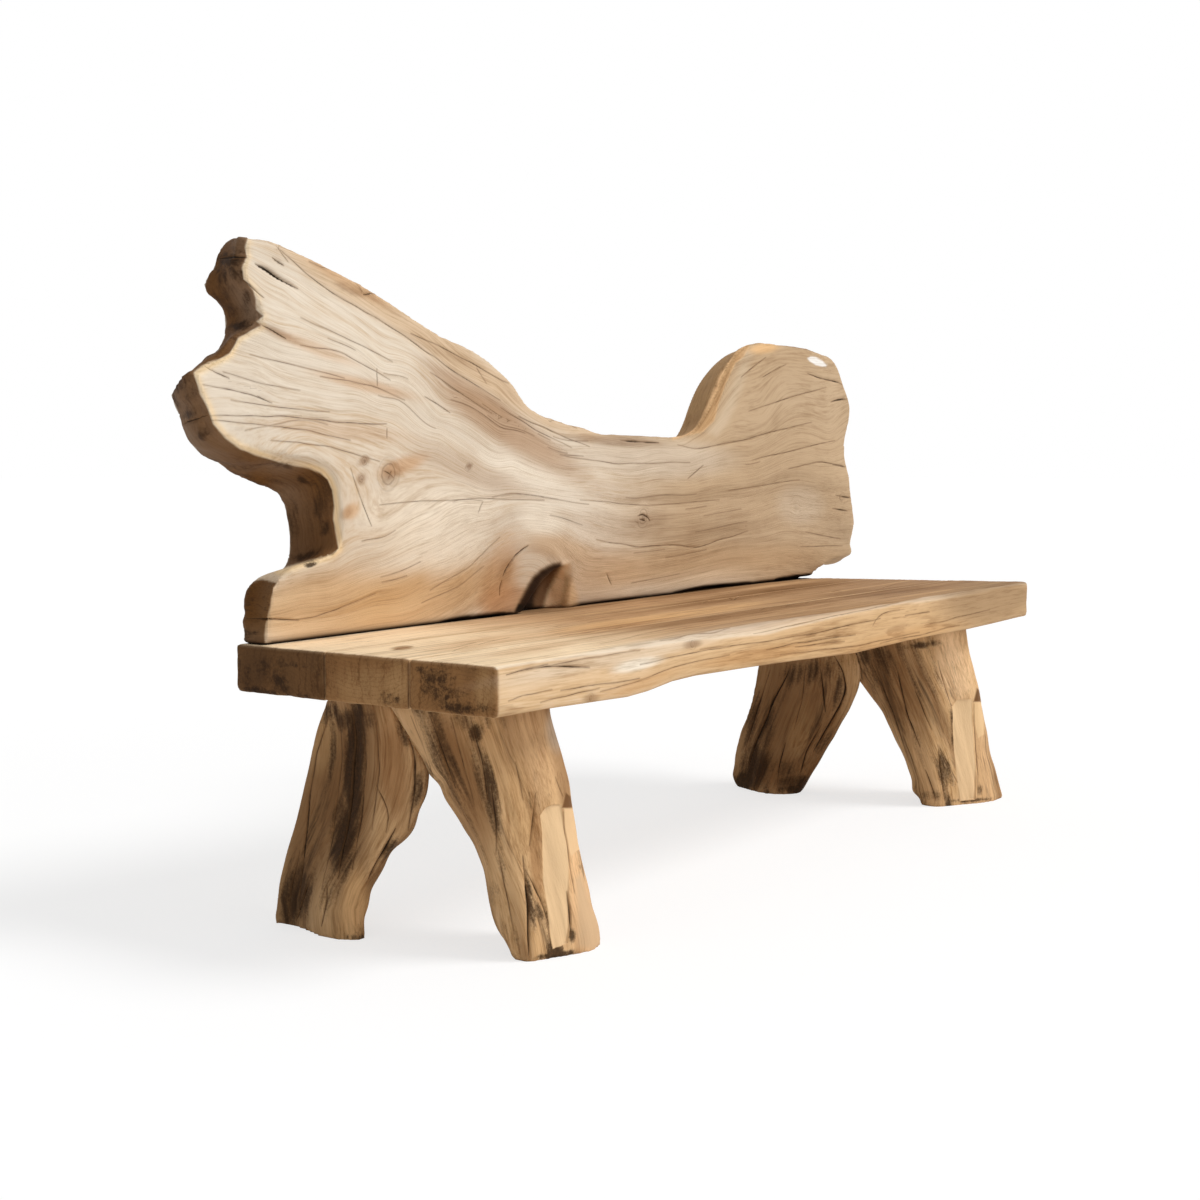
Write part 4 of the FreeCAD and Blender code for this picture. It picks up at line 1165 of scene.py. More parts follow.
def paint_slab(carving, grain, area):
    """Colour, browner towards the right and on the live edges, the left-facing sides bark brown and partly
    painted shade, painted light beside the left arris and on the right lobe's side, then painted shade at
    the foot, the dirt, and the painted light and shade of the hollow.
    """
    places, seen = carving.places, carving.seen
    cloud = 0.5 + 0.5 * noise(grain, (0.4, 0.07, 0.1), 21)
    patches = noise(places, (0.06, 0.05, 0.06), 23)
    carving.blend(0.55 + 0.25 * cloud, PALE)
    carving.blend(smooth_step(-0.15, 0.30, places[:, 0]) * (0.7 + 0.2 * cloud), SAND)
    carving.blend(carving.outlined(TOP_BAND, 7.0) * 0.55, colour(200, 166, 126))
    carving.paint_spots(BACKREST_SPOTS, 0.85)

    carving.blend(np.where(seen, 0.3, 1) * area.side * (0.45 + 0.25 * patches), OCHRE)
    # Painted light on the face beside the left arris, against its shade
    beside = bell(outline_depth(carving.pixels, LEFT_SIDE) + 2.6, 3.2)
    carving.blend(beside * seen * (0.42 + 0.3 * patches), colour(238, 204, 150))
    # The left-facing sides bark brown and mottled dark, partly as painted shade
    carving.blend(area.left * (0.88 + 0.12 * patches), BARK_AND_SHADE)
    dirt = area.left * (0.30 + 0.35 * noise(places, (0.04, 0.07, 0.035), 24))
    carving.grime_and_shade = np.maximum(carving.grime_and_shade, dirt)
    # The right lobe's side, painted bright against its shade, with a darker strip along its rim
    lobe_side = carving.outlined(RIGHT_SIDE, 1.4)
    carving.blend(lobe_side * (0.86 + 0.14 * patches), colour(252, 206, 154))
    carving.blend(lobe_side * (1 - smooth_step(0.80, 0.97, area.rim)) * 0.8, colour(172, 134, 92))
    carving.blend(carving.outlined(LOBE_GLEAM, 5.0) * 0.42, colour(208, 190, 164))
    worn = smooth_step(0.2, 0.8, noise(places, (0.12, 0.05, 0.05), 25))
    carving.blend(area.upper * worn * 0.5, BROWN)

    above_seat = places[:, 2] - SEAT_TOP
    # Painted shade along the foot on the seat, and painted shadow on the foot's faces over the gaps
    carving.blend((1 - smooth_step(0.003, 0.014, above_seat)) * 0.45, UMBER)
    carving.blend(smooth_step(0.3, 0.6, -carving.normals[:, 2]) * (above_seat < 0.016), SOOT_AND_SHADOW)
    carving.blend(carving.outlined(CHIP, 0.9), colour(240, 235, 228))
    carving.soil_and_shade(SLAB_DIRT)
    # Painted light and shade in the hollow
    near_hollow = (places[:, 1] < BACK_FRONT + HOLLOW_REACH).astype(float)
    for outline, shade, strength, soft in HOLLOW_LIGHT_AND_SHADE:
        carving.blend(carving.outlined(outline, soft, near_hollow) * strength, shade)
    quiet = np.exp(-(((carving.pixels - np.array(QUIET_PLACE)) / np.array(QUIET_RADII)) ** 2).sum(1))
    carving.grime_and_shade -= 0.5 * quiet * seen * (carving.grime_and_shade < 0.2)


def backrest_piece():
    """The whole slab. Returns the line along which its face meets the seat."""
    piece = fine_copy("backrest", "backrest_slab", BACKREST_VOXEL)
    tree = make_tree(piece)
    foot_line = foot_front(tree)
    field = slab_flow()
    rims = [LEFT_ARRIS[at:at + 5] for at in range(0, len(LEFT_ARRIS) - 1, 4)]
    rims += [FOOT_ARRIS, HOLLOW_RIM, RIGHT_SIDE[6:13], CHIP + CHIP[:1]]
    refine(piece, [drawn_line(tree, pixels, 1) for pixels in rims], RIM_REACH, 2)
    cracks = work_cracks(piece, tree, BACKREST_CRACKS, flow_lines(tree, field, 34, 11, -1, 0.42))
    hairs = [line for line in flow_lines(tree, field, 80, 53, 1, 0.50) if keeps_clear(line)]
    for index, line in enumerate(hairs):
        cracks.append((line, (0.30 + 0.40 * chance(37, index)) * MILLIMETRE, 0))

    carving = Carving(piece)
    places = carving.places
    flow = field(places[:, [0, 2]])
    wander = 0.004 * noise(places, (0.35, 0.2, 0.12), 5) + 0.0008 * noise(places, (0.12, 0.06, 0.05), 6)
    depth = places[:, 1] - BACK_FRONT
    grain = np.stack([places[:, 0], flow + wander, depth + 0.15 * flow], 1)
    knot = add_knots(carving, grain, tree, BACKREST_KNOTS)
    area = slab_areas(carving)
    carve_slab(carving, grain, area, cracks, foot_line)
    paint_slab(carving, grain, area)
    carving.finish(grain=grain, knot=knot, rings=flow, end=np.zeros(len(places)))
    dress(piece, "backrest", MATERIALS["slab"])
    return foot_line


# The seat

# The lower limit of the bark edge along the front, and the wavy bottom edge, in pixels
BEVEL_LINE = [
    (497, 667.8), (600, 654), (640, 648), (670, 644), (700, 639), (763.8, 633.8), (814.8, 622.3),
    (840.3, 615.9), (900, 604.4), (936, 600.3), (961, 596.9), (992.8, 589.3), (1015.6, 585.5),
]
BOTTOM_LINE = [
    (496.9, 718.9), (560, 708), (600, 702), (630, 698), (650, 692.2), (675, 682), (700, 675.9),
    (759.7, 666.7), (856, 654), (909, 641.5), (964.6, 631), (1021, 617.5),
]

# Cracks in the boards, listed as the slab's are
FRONT_BOARD_CRACKS = [
    (1.2, 3.0, [(452, 655), (480, 651), (520, 645)]),
    (0.7, 2.0, [(508, 701), (530, 694), (552, 689)]),
    (1.0, 2.5, [(754, 632), (810, 620), (899, 602)]),
    (1.1, 3.0, [(905, 616), (930, 611)]),
    (0.8, 2.0, [(520, 672), (580, 660), (640, 650)]),
    (0.8, 2.0, [(600, 690), (660, 672), (730, 656)]),
    (0.8, 2.0, [(540, 702), (600, 686)]),
    (0.8, 2.0, [(780, 655), (850, 643), (920, 630)]),
    (0.8, 2.0, [(700, 650), (760, 643), (820, 632)]),
    (0.8, 2.0, [(930, 622), (990, 608)]),
    (0.9, 2.0, [(600, 643), (680, 627), (740, 617)]),
    (0.9, 2.0, [(760, 606), (850, 593)]),
    (0.9, 2.0, [(640, 664), (690, 654), (740, 645)]),
    (2.2, 3.5, [(506, 675), (530, 669), (560, 666), (590, 667)]),
    (1.3, 3.0, [(518, 671), (536, 667), (548, 664)]),
    (1.4, 3.0, [(766, 650), (800, 642), (830, 637), (856, 632)]),
    (1.2, 3.0, [(806, 635), (840, 627), (881, 618)]),
    (1.0, 2.5, [(795, 646), (820, 642), (845, 638)]),
    (1.0, 2.0, [(873, 625), (877, 618), (883, 613), (900, 610)]),
    (0.9, 2.0, [(560, 690), (600, 683), (640, 676)]),
    (0.9, 2.0, [(880, 640), (920, 632), (960, 622)]),
    (0.8, 2.0, [(660, 640), (700, 633), (730, 628)]),
    (1.6, 1.5, [(820, 604), (850, 602), (893, 603)]),
]
MIDDLE_BOARD_CRACKS = [
    (1.5, 4.0, [(510, 632), (560, 626), (600, 621), (649, 615)]),
    (1.0, 2.5, [(452, 651), (480, 643), (510, 637)]),
    (1.3, 3.0, [(672, 606), (730, 598), (800, 589)]),
    (0.8, 2.0, [(425, 652), (450, 648), (476, 643)]),
    (1.4, 1.0, [(393, 650.5), (400, 647.5), (406, 648.5), (413, 646)]),
    (0.9, 2.0, [(700, 607), (760, 599), (830, 590)]),
    (0.9, 2.0, [(560, 636), (620, 627), (680, 618)]),
    (1.4, 2.0, [(786, 597), (830, 592), (880, 588)]), (1.2, 2.0, [(876, 590), (886, 587), (897, 584)]),
]
REAR_BOARD_CRACKS = [
    (1.0, 2.5, [(330, 645), (380, 640), (430, 635)]),
    (0.9, 2.0, [(520, 618), (580, 612), (640, 606)]),
    (0.9, 2.0, [(700, 596), (760, 589), (820, 583)]),
    (1.2, 2.0, [(640, 603), (690, 598), (740, 594)]), (1.2, 2.0, [(781, 590), (797, 588), (814, 587)]),
]

# Colour and dirt on the seat, listed as the slab's are
FRONT_BOARD_SPOTS = [
    # The first two are a painted highlight along the rounded front arris
    ((620, 655), (120, 9), -12, PALE, 0.35), ((637, 664), (24, 5), -12, CREAM, 0.9),
    ((850, 640), (180, 26), -12, OCHRE, 0.45), ((540, 680), (40, 8), -12, PALE, 0.12),
    ((693, 644), (9, 4), -10, BROWN, 0.5), ((591, 696), (8, 4), -10, BROWN, 0.4),
    ((760, 655), (60, 7), -12, GOLD, 0.35), ((900, 635), (60, 7), -13, GOLD, 0.3),
    ((640, 682), (40, 6), -16, GOLD, 0.3), ((720, 615), (70, 5), -9, BROWN, 0.25),
    ((990, 600), (50, 20), -8, colour(160, 130, 96), 0.85), ((530, 650), (40, 5), -9, GOLD, 0.25),
]
LEFT_END_SPOTS = [
    ((372, 690), (34, 20), 6, OCHRE, 0.35), ((255, 672), (16, 26), 6, UMBER, 0.55),
    ((400, 680), (10, 20), 0, OCHRE, 0.3), ((485, 690), (10, 20), 0, OCHRE, 0.35),
]
LEFT_END_DIRT = [
    ((436, 682), (20, 24), 40, 0.75), ((460, 708), (22, 8), 10, 0.95), ((428, 670), (24, 5), 5, 0.6),
    ((484, 708), (12, 7), 0, 0.6), ((280, 682), (14, 22), -20, 0.7), ((262, 692), (24, 6), 12, 0.9),
    ((303, 700), (22, 7), 12, 0.8), ((345, 709), (28, 5), 6, 0.7), ((240, 660), (6, 20), 0, 0.6),
    ((318, 672), (8, 10), 0, 0.4), ((390, 700), (14, 12), 0, 0.45), ((470, 670), (20, 6), 0, 0.35),
    ((270, 668), (22, 16), 0, 0.55), ((246, 680), (10, 26), 0, 0.5), ((396, 700), (5, 4), 0, 0.7),
    ((450, 695), (36, 14), 20, 0.6), ((288, 664), (30, 4), 6, 0.6),
]
TOP_SPOTS = [
    ((480, 643), (50, 5), -8, GOLD, 0.35), ((600, 628), (70, 5), -8, GOLD, 0.3),
    ((735, 597), (80, 4), -8, BROWN, 0.55), ((800, 587), (60, 3), -6, BROWN, 0.5),
    ((690, 592), (60, 4), -6, BROWN, 0.5), ((575, 606), (60, 4), -7, BROWN, 0.4),
    ((880, 592), (60, 3), -4, BROWN, 0.4), ((620, 622), (60, 3), -8, HONEY, 0.4),
    ((700, 612), (60, 3), -8, HONEY, 0.5), ((402, 648), (10, 1.8), -5, RUSSET, 0.75),
]


def under_cracks(tree, low, high, seed):
    """Drying cracks on a board's underside and on its right end."""

    def upward(index):
        start = low.x + 0.06 + 1.5 * chance(seed, index)
        across = low.y + 0.015 + (high.y - low.y - 0.03) * chance(seed + 1, index)
        run = 0.08 + 0.35 * chance(seed + 2, index) ** 2
        for step in np.linspace(0, run, int(run / 0.012) + 2):
            drift = 0.004 * math.sin(step * 31 + index)
            yield Vector((start + step, across + drift, 0.2)), Vector((0, 0, 1))

    def leftward(index):
        height = low.z + 0.012 + 0.044 * chance(seed + 3, index)
        across = low.y + 0.02 + (high.y - low.y - 0.06) * chance(seed + 4, index)
        for step in np.linspace(0, 0.03 + 0.03 * chance(seed + 5, index), 6):
            yield Vector((1.5, across + step, height + 0.3 * step)), Vector((-1, 0, 0))

    below = cast_lines(tree, map(upward, range(9)), 3, lambda hit: abs(hit[0].z - low.z) <= 0.012)
    return below + cast_lines(tree, map(leftward, range(4)), 3)


def wane(carving):
    """Rounds the front board's top front edge as the bark left it, and lets its bottom edge waver."""
    places = carving.places
    bevel = plane_points(BEVEL_LINE, 1, SEAT_FRONT)
    drop = np.interp(places[:, 0], bevel[:, 0], SEAT_TOP - bevel[:, 2], right=0.005)
    drop = np.maximum(drop + 0.0015 * noise(places, (0.05, 1, 1), 71), 0.004)
    reach = 1.25 * drop + 0.002
    back = np.clip(places[:, 1] - SEAT_FRONT, 0, None)
    down = np.clip(SEAT_TOP - places[:, 2], 0, None)
    level = back / reach + down / drop
    lack = 0.92 * np.maximum(1 - level, 0) / (1 / reach ** 2 + 1 / drop ** 2)
    places[:, 1] += lack / reach
    places[:, 2] -= lack / drop
    rough = 1 - smooth_step(0.9, 1.25, level)
    carving.relief(72, (rough, 1.2, places, (0.04, 0.02, 0.02)))
    bottom = plane_points(BOTTOM_LINE, 1, SEAT_FRONT)
    lift = np.clip(np.interp(places[:, 0], bottom[:, 0], bottom[:, 2] - FRONT_BOARD_LOW.z), -0.009, 0.014)
    near = 1 - smooth_step(0.0, 0.07, places[:, 1] - SEAT_FRONT)
    near *= 1 - smooth_step(0.0, 0.8, (places[:, 2] - FRONT_BOARD_LOW.z) / 0.068)
    places[:, 2] += lift * near
    return rough


def close_seams(places, low, high, seams):
    """Draws the upper arrises of neighbouring boards together, except near the left end."""
    away = smooth_step(0.03, 0.06, places[:, 0] - low.x)
    shallow = places[:, 2] > high.z - 0.006
    for edge in seams:
        near = shallow & (np.abs(places[:, 1] - edge) < 0.006)
        places[near, 2] += (away * (high.z - 0.0004 - places[:, 2]))[near]


def mark_seam(carving, edge, left_end):
    """A thin dark joint where two boards meet, on their left ends."""
    offset = carving.places[:, 1] - edge
    near = (np.abs(offset) < FEATURE_REACH) & (left_end > 0.02)
    carving.side[near, 0] = offset[near]
    carving.width[near, 0] = 0.0014
    carving.taken[near, 0] = True
    close = 1 - smooth_step(0.001, 0.005, np.abs(offset))
    carving.blend(close * smooth_step(0.0, 0.5, left_end) * 0.85, UMBER)


def paint_board(carving, grain, cloud, top, seed):
    """The weathered top with painted light, paler and plainer towards the left where it is lit and with
    painted glints towards the right, then the underside and the right end.
    """
    places, normals = carving.places, carving.normals
    carving.blend(0.65 + 0.2 * cloud, TAN)
    # Painted light: the top paler and plainer towards the left where it is lit, darker beyond
    lit = 1 - smooth_step(-0.62, -0.15, places[:, 0])
    carving.blend(top * lit * (0.8 + 0.15 * cloud), colour(250, 226, 190))
    carving.blend(top * (1 - lit) * (0.75 + 0.2 * cloud), colour(180, 141, 102))
    carving.blend(top * smooth_step(0.1, 0.6, places[:, 0]) * (0.6 + 0.25 * cloud), colour(156, 122, 88))
    carving.grime_and_shade -= top * lit * 0.32
    stripes = smooth_step(0.05, 0.6, noise(grain, (0.8, 0.016, 0.05), seed + 8))
    carving.blend(top * stripes * (0.50 - 0.38 * lit), colour(132, 96, 62))
    # Painted glints on the top, away from the lit part
    glints = smooth_step(0.3, 0.8, noise(grain, (0.6, 0.012, 0.05), seed + 9))
    carving.blend(top * glints * (1 - lit) * 0.5, colour(214, 176, 132))
    under = smooth_step(0.6, 0.9, -normals[:, 2])
    carving.blend(under * 0.6, OCHRE)
    carving.blend(under * smooth_step(0.1, 0.7, noise(grain, (0.5, 0.04, 0.05), seed + 6)) * 0.6, BROWN)
    carving.blend(smooth_step(0.2, 0.6, normals[:, 0]) * 0.9, colour(158, 126, 90))


def board_piece(node, name, seen_cracks, spots, seed, pith, knots, foot_line):
    """One board of the seat. pith is the middle of its year rings, across and up."""
    front = node == "seat_board_front"
    rear = node == "seat_board_rear"
    low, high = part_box(node)
    piece = fine_copy(node, name, BOARD_VOXEL)
    tree = make_tree(piece)
    cracks = work_cracks(piece, tree, seen_cracks, under_cracks(tree, low, high, seed))
    carving = Carving(piece)
    places, normals = carving.places, carving.normals
    waves = 0.006 * noise(places, (0.45, 0.2, 0.2), seed)
    waves += 0.002 * noise(places, (0.14, 0.06, 0.06), seed + 1)
    rings = np.hypot(places[:, 1] - pith[0], places[:, 2] - pith[1])
    grain = np.stack([places[:, 0], places[:, 1] + waves, places[:, 2] + 0.7 * waves], 1)
    knot = add_knots(carving, grain, tree, knots)
    end = smooth_step(0.7, 0.9, np.abs(normals[:, 0]))
    top = smooth_step(0.6, 0.9, normals[:, 2])
    carving.relief(
        seed + 2, (1, 0.7, grain, (0.25, 0.03, 0.03)), (1 - end, 0.45, grain, (0.1, 0.008, 0.008)),
        (end, 0.8, places, (0.02, 0.02, 0.02)))
    carving.open_cracks(cracks)
    if front:
        rough_edge = wane(carving)
    seams = [edge for edge, inner in ((low.y, not front), (high.y, not rear)) if inner]
    close_seams(places, low, high, seams)
    left_end = 1 - smooth_step(0.0012, 0.0052, places[:, 0] - low.x)
    for edge in seams:
        mark_seam(carving, edge, left_end)

    cloud = noise(grain, (0.5, 0.05, 0.05), seed + 5)
    paint_board(carving, grain, cloud, top, seed)
    # The left ends brown as end grain and partly as painted shade, the rear board's darker
    carving.blend(left_end * 0.94, colour(98, 66, 36) if rear else colour(138, 97, 57))
    dark = smooth_step(0.0, 0.8, noise(places, (0.03, 0.03, 0.03), seed + 7))
    carving.blend(end * dark * 0.4, BROWN)
    if rear:
        # Painted shadow on the seat's top in the gaps under the slab's foot
        hidden = smooth_step(0.001, 0.006, places[:, 1] - np.interp(places[:, 0], *foot_line)) * top
        for height, start, stop in FOOT_GAPS:
            span = foot_span(start, stop, foot_line)
            carving.blend(hidden * ((places[:, 0] > span[0]) & (places[:, 0] < span[1])), SOOT_AND_SHADOW)
    if front:
        carving.blend(rough_edge * (0.35 + 0.3 * cloud), CREAM)
    carving.paint_spots(spots)
    carving.soil_and_shade(LEFT_END_DIRT)
    carving.finish(grain=grain, knot=knot, rings=rings, end=end)
    dress(piece, node, MATERIALS["seat"])


# The log legs

# Cracks in the logs, listed as the slab's are
REAR_LEFT_CRACKS = [
    (3.0, 5.0, [(352, 706), (356, 740), (352, 790), (346, 840), (338, 879)]),
    (1.7, 3.0, [(362, 716), (366, 760), (361, 820), (352, 870)]),
    (1.5, 3.0, [(340, 712), (342, 760), (334, 830), (322, 890)]),
    (2.4, 3.5, [(330, 714), (317, 752), (309, 800), (304, 850), (300, 886), (299, 926)]),
    (2.4, 4.0, [(309, 883), (303, 900), (296, 921)]),
    (2.0, 3.5, [(328, 883), (326, 905), (322, 926)]),
    (3.0, 4.5, [(396, 827), (384, 850), (368, 878)]),
    (2.6, 4.0, [(402, 715), (410, 738), (415, 760), (414, 795), (408, 830)]),
    (1.7, 3.0, [(376, 784), (386, 806), (389, 816), (386, 833)]),
    (1.4, 2.5, [(300, 850), (292, 885), (288, 915)]),
    (1.4, 2.5, [(376, 720), (380, 770), (372, 830)]),
]
FRONT_LEFT_CRACKS = [
    (2.2, 4.0, [(430, 714), (440, 745), (456, 789)]),
    (1.7, 3.0, [(491, 784), (496, 820), (496, 855)]),
    (2.5, 4.0, [(523, 855), (528, 905), (529, 959)]),
    (2.0, 4.0, [(567, 892), (570, 910), (571, 936)]),
    (1.7, 3.0, [(470, 716), (482, 760), (488, 800)]),
    (1.0, 2.0, [(515, 762), (520, 785), (523, 800)]),
    (1.6, 3.5, [(535.6, 792), (533, 820), (529.8, 846)]),
    (1.5, 3.0, [(523, 866), (534, 885), (543, 905), (549, 925)]),
    (1.2, 2.5, [(556, 777), (560, 788), (563, 797)]),
    (1.6, 3.0, [(563, 812), (566.5, 838), (570, 866), (575, 893)]),
    (1.5, 3.0, [(498, 850), (506, 895), (514, 935)]),
    (1.4, 2.5, [(450, 716), (462, 760), (474, 806)]),
    (1.4, 2.5, [(410, 716), (424, 750), (436, 785)]),
]
FRONT_RIGHT_CRACKS = [
    (3.2, 4.5, [(897, 668), (902, 692), (907, 716), (920, 748)]),
    (1.7, 3.0, [(915, 690), (924, 712), (932, 730)]),
    (1.5, 3.0, [(938, 660), (944, 684), (952, 706)]),
    (2.8, 4.0, [(872, 664), (884, 690), (892, 712), (903, 744)]),
    (1.8, 3.0, [(862, 672), (876, 694), (888, 718)]),
    (2.0, 3.0, [(925, 770), (932, 788), (936, 802)]),
    (1.6, 3.0, [(973, 704), (976.5, 745), (978, 775), (977, 798)]),
    (1.6, 3.5, [(938, 745), (941, 770), (945, 800)]),
    (1.4, 3.0, [(938, 745), (948, 762), (958, 783)]),
]
REAR_RIGHT_CRACKS = [
    (4.2, 5.0, [(791.5, 664.6), (783, 682), (773, 700), (756, 742), (747, 770)]),
    (3.0, 4.5, [(820.5, 668), (823, 690), (825.5, 712)]),
    (3.6, 5.0, [(834, 655), (843, 672), (846, 690), (840, 706), (826, 730), (813, 752)]),
    (1.7, 3.0, [(806, 665), (802, 700), (794, 730)]),
    (2.2, 3.0, [(770, 670), (758, 706), (745, 752)]),
    (2.2, 3.0, [(822, 724), (806, 752), (797, 785)]),
    (2.4, 3.0, [(786, 742), (779, 765), (777, 788)]),
]

# Colour on the logs, listed as the slab's is. Umber and soot go on as mottled dirt here: stains, and
# painted shadow at the tops under the seat. Some browns on the rear legs are partly painted shade, and
# the pale strip right of the front left leg's cut face is painted sunlight
REAR_LEFT_SPOTS = [
    # The first is painted shade on the leg's left third
    ((312, 825), (22, 110), 13, BROWN, 0.75), ((352, 790), (24, 100), 6, BROWN, 0.8),
    ((355, 765), (12, 84), 2, SOOT_AND_SHADOW, 1.05), ((344, 838), (16, 52), 8, SOOT_AND_SHADOW, 0.85),
    ((350, 720), (20, 16), 0, SOOT_AND_SHADOW, 0.7), ((330, 890), (14, 34), 14, UMBER, 0.62),
    ((296, 896), (20, 44), 14, UMBER, 0.75), ((355, 905), (12, 34), 4, HONEY, 0.9),
    ((393, 770), (14, 48), -6, colour(164, 120, 78), 0.8), ((390, 850), (20, 8), -50, SOOT_AND_SHADOW, 0.7),
    ((418, 790), (10, 26), 14, UMBER, 0.75), ((326, 740), (12, 30), 8, OCHRE, 0.4),
    # Painted shadow at the top, under the seat
    ((345, 718), (60, 16), 4, SOOT_AND_SHADOW, 0.45), ((332, 712), (12, 14), 0, SOOT_AND_SHADOW, 0.6),
    ((404, 730), (8, 26), -16, UMBER, 0.75), ((285, 900), (9, 40), 10, SOOT_AND_SHADOW, 0.5),
    ((360, 938), (20, 5), 6, SOOT_AND_SHADOW, 0.6),
]
FRONT_LEFT_SPOTS = [
    ((477, 732), (10, 14), 0, UMBER, 0.85), ((492, 796), (9, 62), -8, UMBER, 0.8),
    ((476, 730), (4, 5), 0, SOOT_AND_SHADOW, 0.9), ((494, 890), (8, 14), -10, UMBER, 0.5),
    # The second is painted shadow at the top, under the seat
    ((438, 745), (12, 40), -18, UMBER, 0.6), ((470, 722), (60, 12), -2, UMBER, 0.45),
    ((531, 905), (5, 34), -8, UMBER, 0.85), ((538, 912), (7, 16), -24, UMBER, 0.85),
    ((573, 935), (6, 9), 0, UMBER, 0.85), ((512, 935), (14, 26), -20, UMBER, 0.45),
    ((556, 955), (26, 4), -8, SOOT_AND_SHADOW, 0.9), ((532, 756), (24, 50), -6, colour(196, 158, 116), 0.75),
    ((462, 780), (17, 70), -20, colour(150, 108, 68), 0.75),
    # Painted sunlight right of the pale cut face
    ((580, 890), (14, 66), -6, colour(222, 180, 134), 0.9),
    # The first is painted shade left of the pale cut face
    ((536, 850), (6, 50), -4, colour(168, 126, 84), 0.8), ((520, 800), (14, 50), -6, OCHRE, 0.4),
    ((555, 730), (8, 20), -6, PALE, 0.4), ((478, 775), (8, 44), -14, UMBER, 0.55),
    ((500, 850), (6, 40), -8, UMBER, 0.5),
]
FRONT_RIGHT_SPOTS = [
    ((900, 690), (16, 46), -18, RUSSET, 0.25), ((943, 772), (7, 30), -10, UMBER, 0.8),
    ((930, 795), (20, 8), 0, SOOT_AND_SHADOW, 0.5), ((984, 760), (8, 40), -6, colour(206, 166, 122), 0.8),
    ((954, 668), (15, 34), -10, colour(232, 194, 150), 0.95), ((970, 800), (30, 3), -3, SOOT_AND_SHADOW, 0.7),
    ((880, 665), (22, 34), -20, SOOT_AND_SHADOW, 0.55), ((922, 645), (24, 5), -8, SOOT_AND_SHADOW, 0.7),
    ((953, 725), (3, 30), -4, UMBER, 0.7), ((915, 735), (5, 40), -20, UMBER, 0.6),
    ((950, 775), (6, 20), -22, UMBER, 0.7), ((980, 790), (4, 8), 0, UMBER, 0.8),
    ((884, 684), (20, 44), -22, BROWN, 0.45), ((866, 656), (14, 16), 0, SOOT_AND_SHADOW, 0.6),
]
REAR_RIGHT_SPOTS = [
    ((754, 766), (18, 34), 14, SOOT_AND_SHADOW, 0.75), ((784, 770), (20, 18), 10, UMBER, 0.68),
    # The second is a broad brown over the leg, partly painted shade
    ((766, 730), (12, 44), 14, UMBER, 0.7), ((790, 740), (60, 70), 0, BROWN, 0.6),
    ((752, 720), (8, 44), 14, UMBER, 0.75), ((838, 690), (10, 30), 10, UMBER, 0.65),
    # The second is painted shadow at the top, under the seat
    ((796, 782), (30, 10), 0, SOOT_AND_SHADOW, 0.7), ((812, 672), (50, 18), -10, SOOT_AND_SHADOW, 0.55),
    ((800, 728), (10, 24), 12, OCHRE, 0.6), ((824, 745), (8, 20), 30, UMBER, 0.6),
    ((745, 781), (14, 12), 0, SOOT_AND_SHADOW, 1.0), ((800, 789), (30, 8), 0, SOOT_AND_SHADOW, 0.85),
    # Both broad browns here are partly painted shade
    ((786, 772), (60, 14), 0, BROWN, 0.5), ((790, 690), (60, 60), 0, BROWN, 0.5),
    ((776, 700), (10, 46), 18, UMBER, 0.5), ((822, 726), (10, 34), 16, UMBER, 0.5),
]

# The flat faces low on the two front legs, painted pale as patches of sunlight, in pixels, and the
# patches beside them, painted sunlight and painted shadow: outline, colour and softness
LEFT_SUNLIT_FACET = [
    (541.4, 815.8), (546, 809), (553, 805), (560.7, 805), (562.7, 815.8), (566, 839), (568.4, 864),
    (568, 893), (569.4, 927.8), (567.5, 943), (553, 949), (549, 922), (544.3, 883.4), (543, 835),
]
LEFT_SUN_AND_SHADE_PATCHES = [
    ([(563.6, 808.5), (573, 808.5), (576, 823.6), (580, 848), (572, 856), (569.5, 852), (566, 832)],
     colour(222, 186, 142), 1.0),
    ([(562, 807.5), (572, 807.5), (570, 797), (565.5, 793)], colour(104, 70, 40), 1.0),
    ([(582, 872), (592, 900), (602, 925), (604, 946), (592, 951), (580, 946), (578, 915), (576, 880)],
     colour(200, 167, 130), 4.0),
]
RIGHT_SUNLIT_FACET = [
    (953.3, 707), (958, 700), (971, 698.6), (972.3, 720.8), (975.6, 763), (976, 779), (974.6, 799),
    (960, 801), (956.5, 765), (953.3, 724),
]
RIGHT_SUN_AND_SHADE_PATCHES = [
    ([(973.5, 702.5), (980.6, 702.5), (984, 720.8), (984, 734), (978, 738), (974.4, 720.8)],
     colour(220, 184, 138), 1.0),
    ([(972.5, 701.5), (980, 701.5), (978, 690), (975, 688)], colour(104, 70, 40), 1.0),
]


def log_axis(piece, low):
    """The middle of the log at each height."""
    places = vertex_vectors(piece.data.vertices, "co")
    heights = np.linspace(low.z + 0.01, UNDERSIDE - 0.007, 12)
    middles = []
    for height in heights:
        level = places[np.abs(places[:, 2] - height) < 0.012, :2]
        middles.append((level.min(0) + level.max(0)) / 2)

    def axis(at):
        return np.stack([np.interp(at, heights, course) for course in np.transpose(middles)], -1)

    return axis


def inward(axis, height, angle):
    """A ray from outside a log to its middle: start and direction."""
    way = Vector((math.cos(angle), math.sin(angle), 0))
    return Vector((*axis(height), height)) + way * 0.4, -way


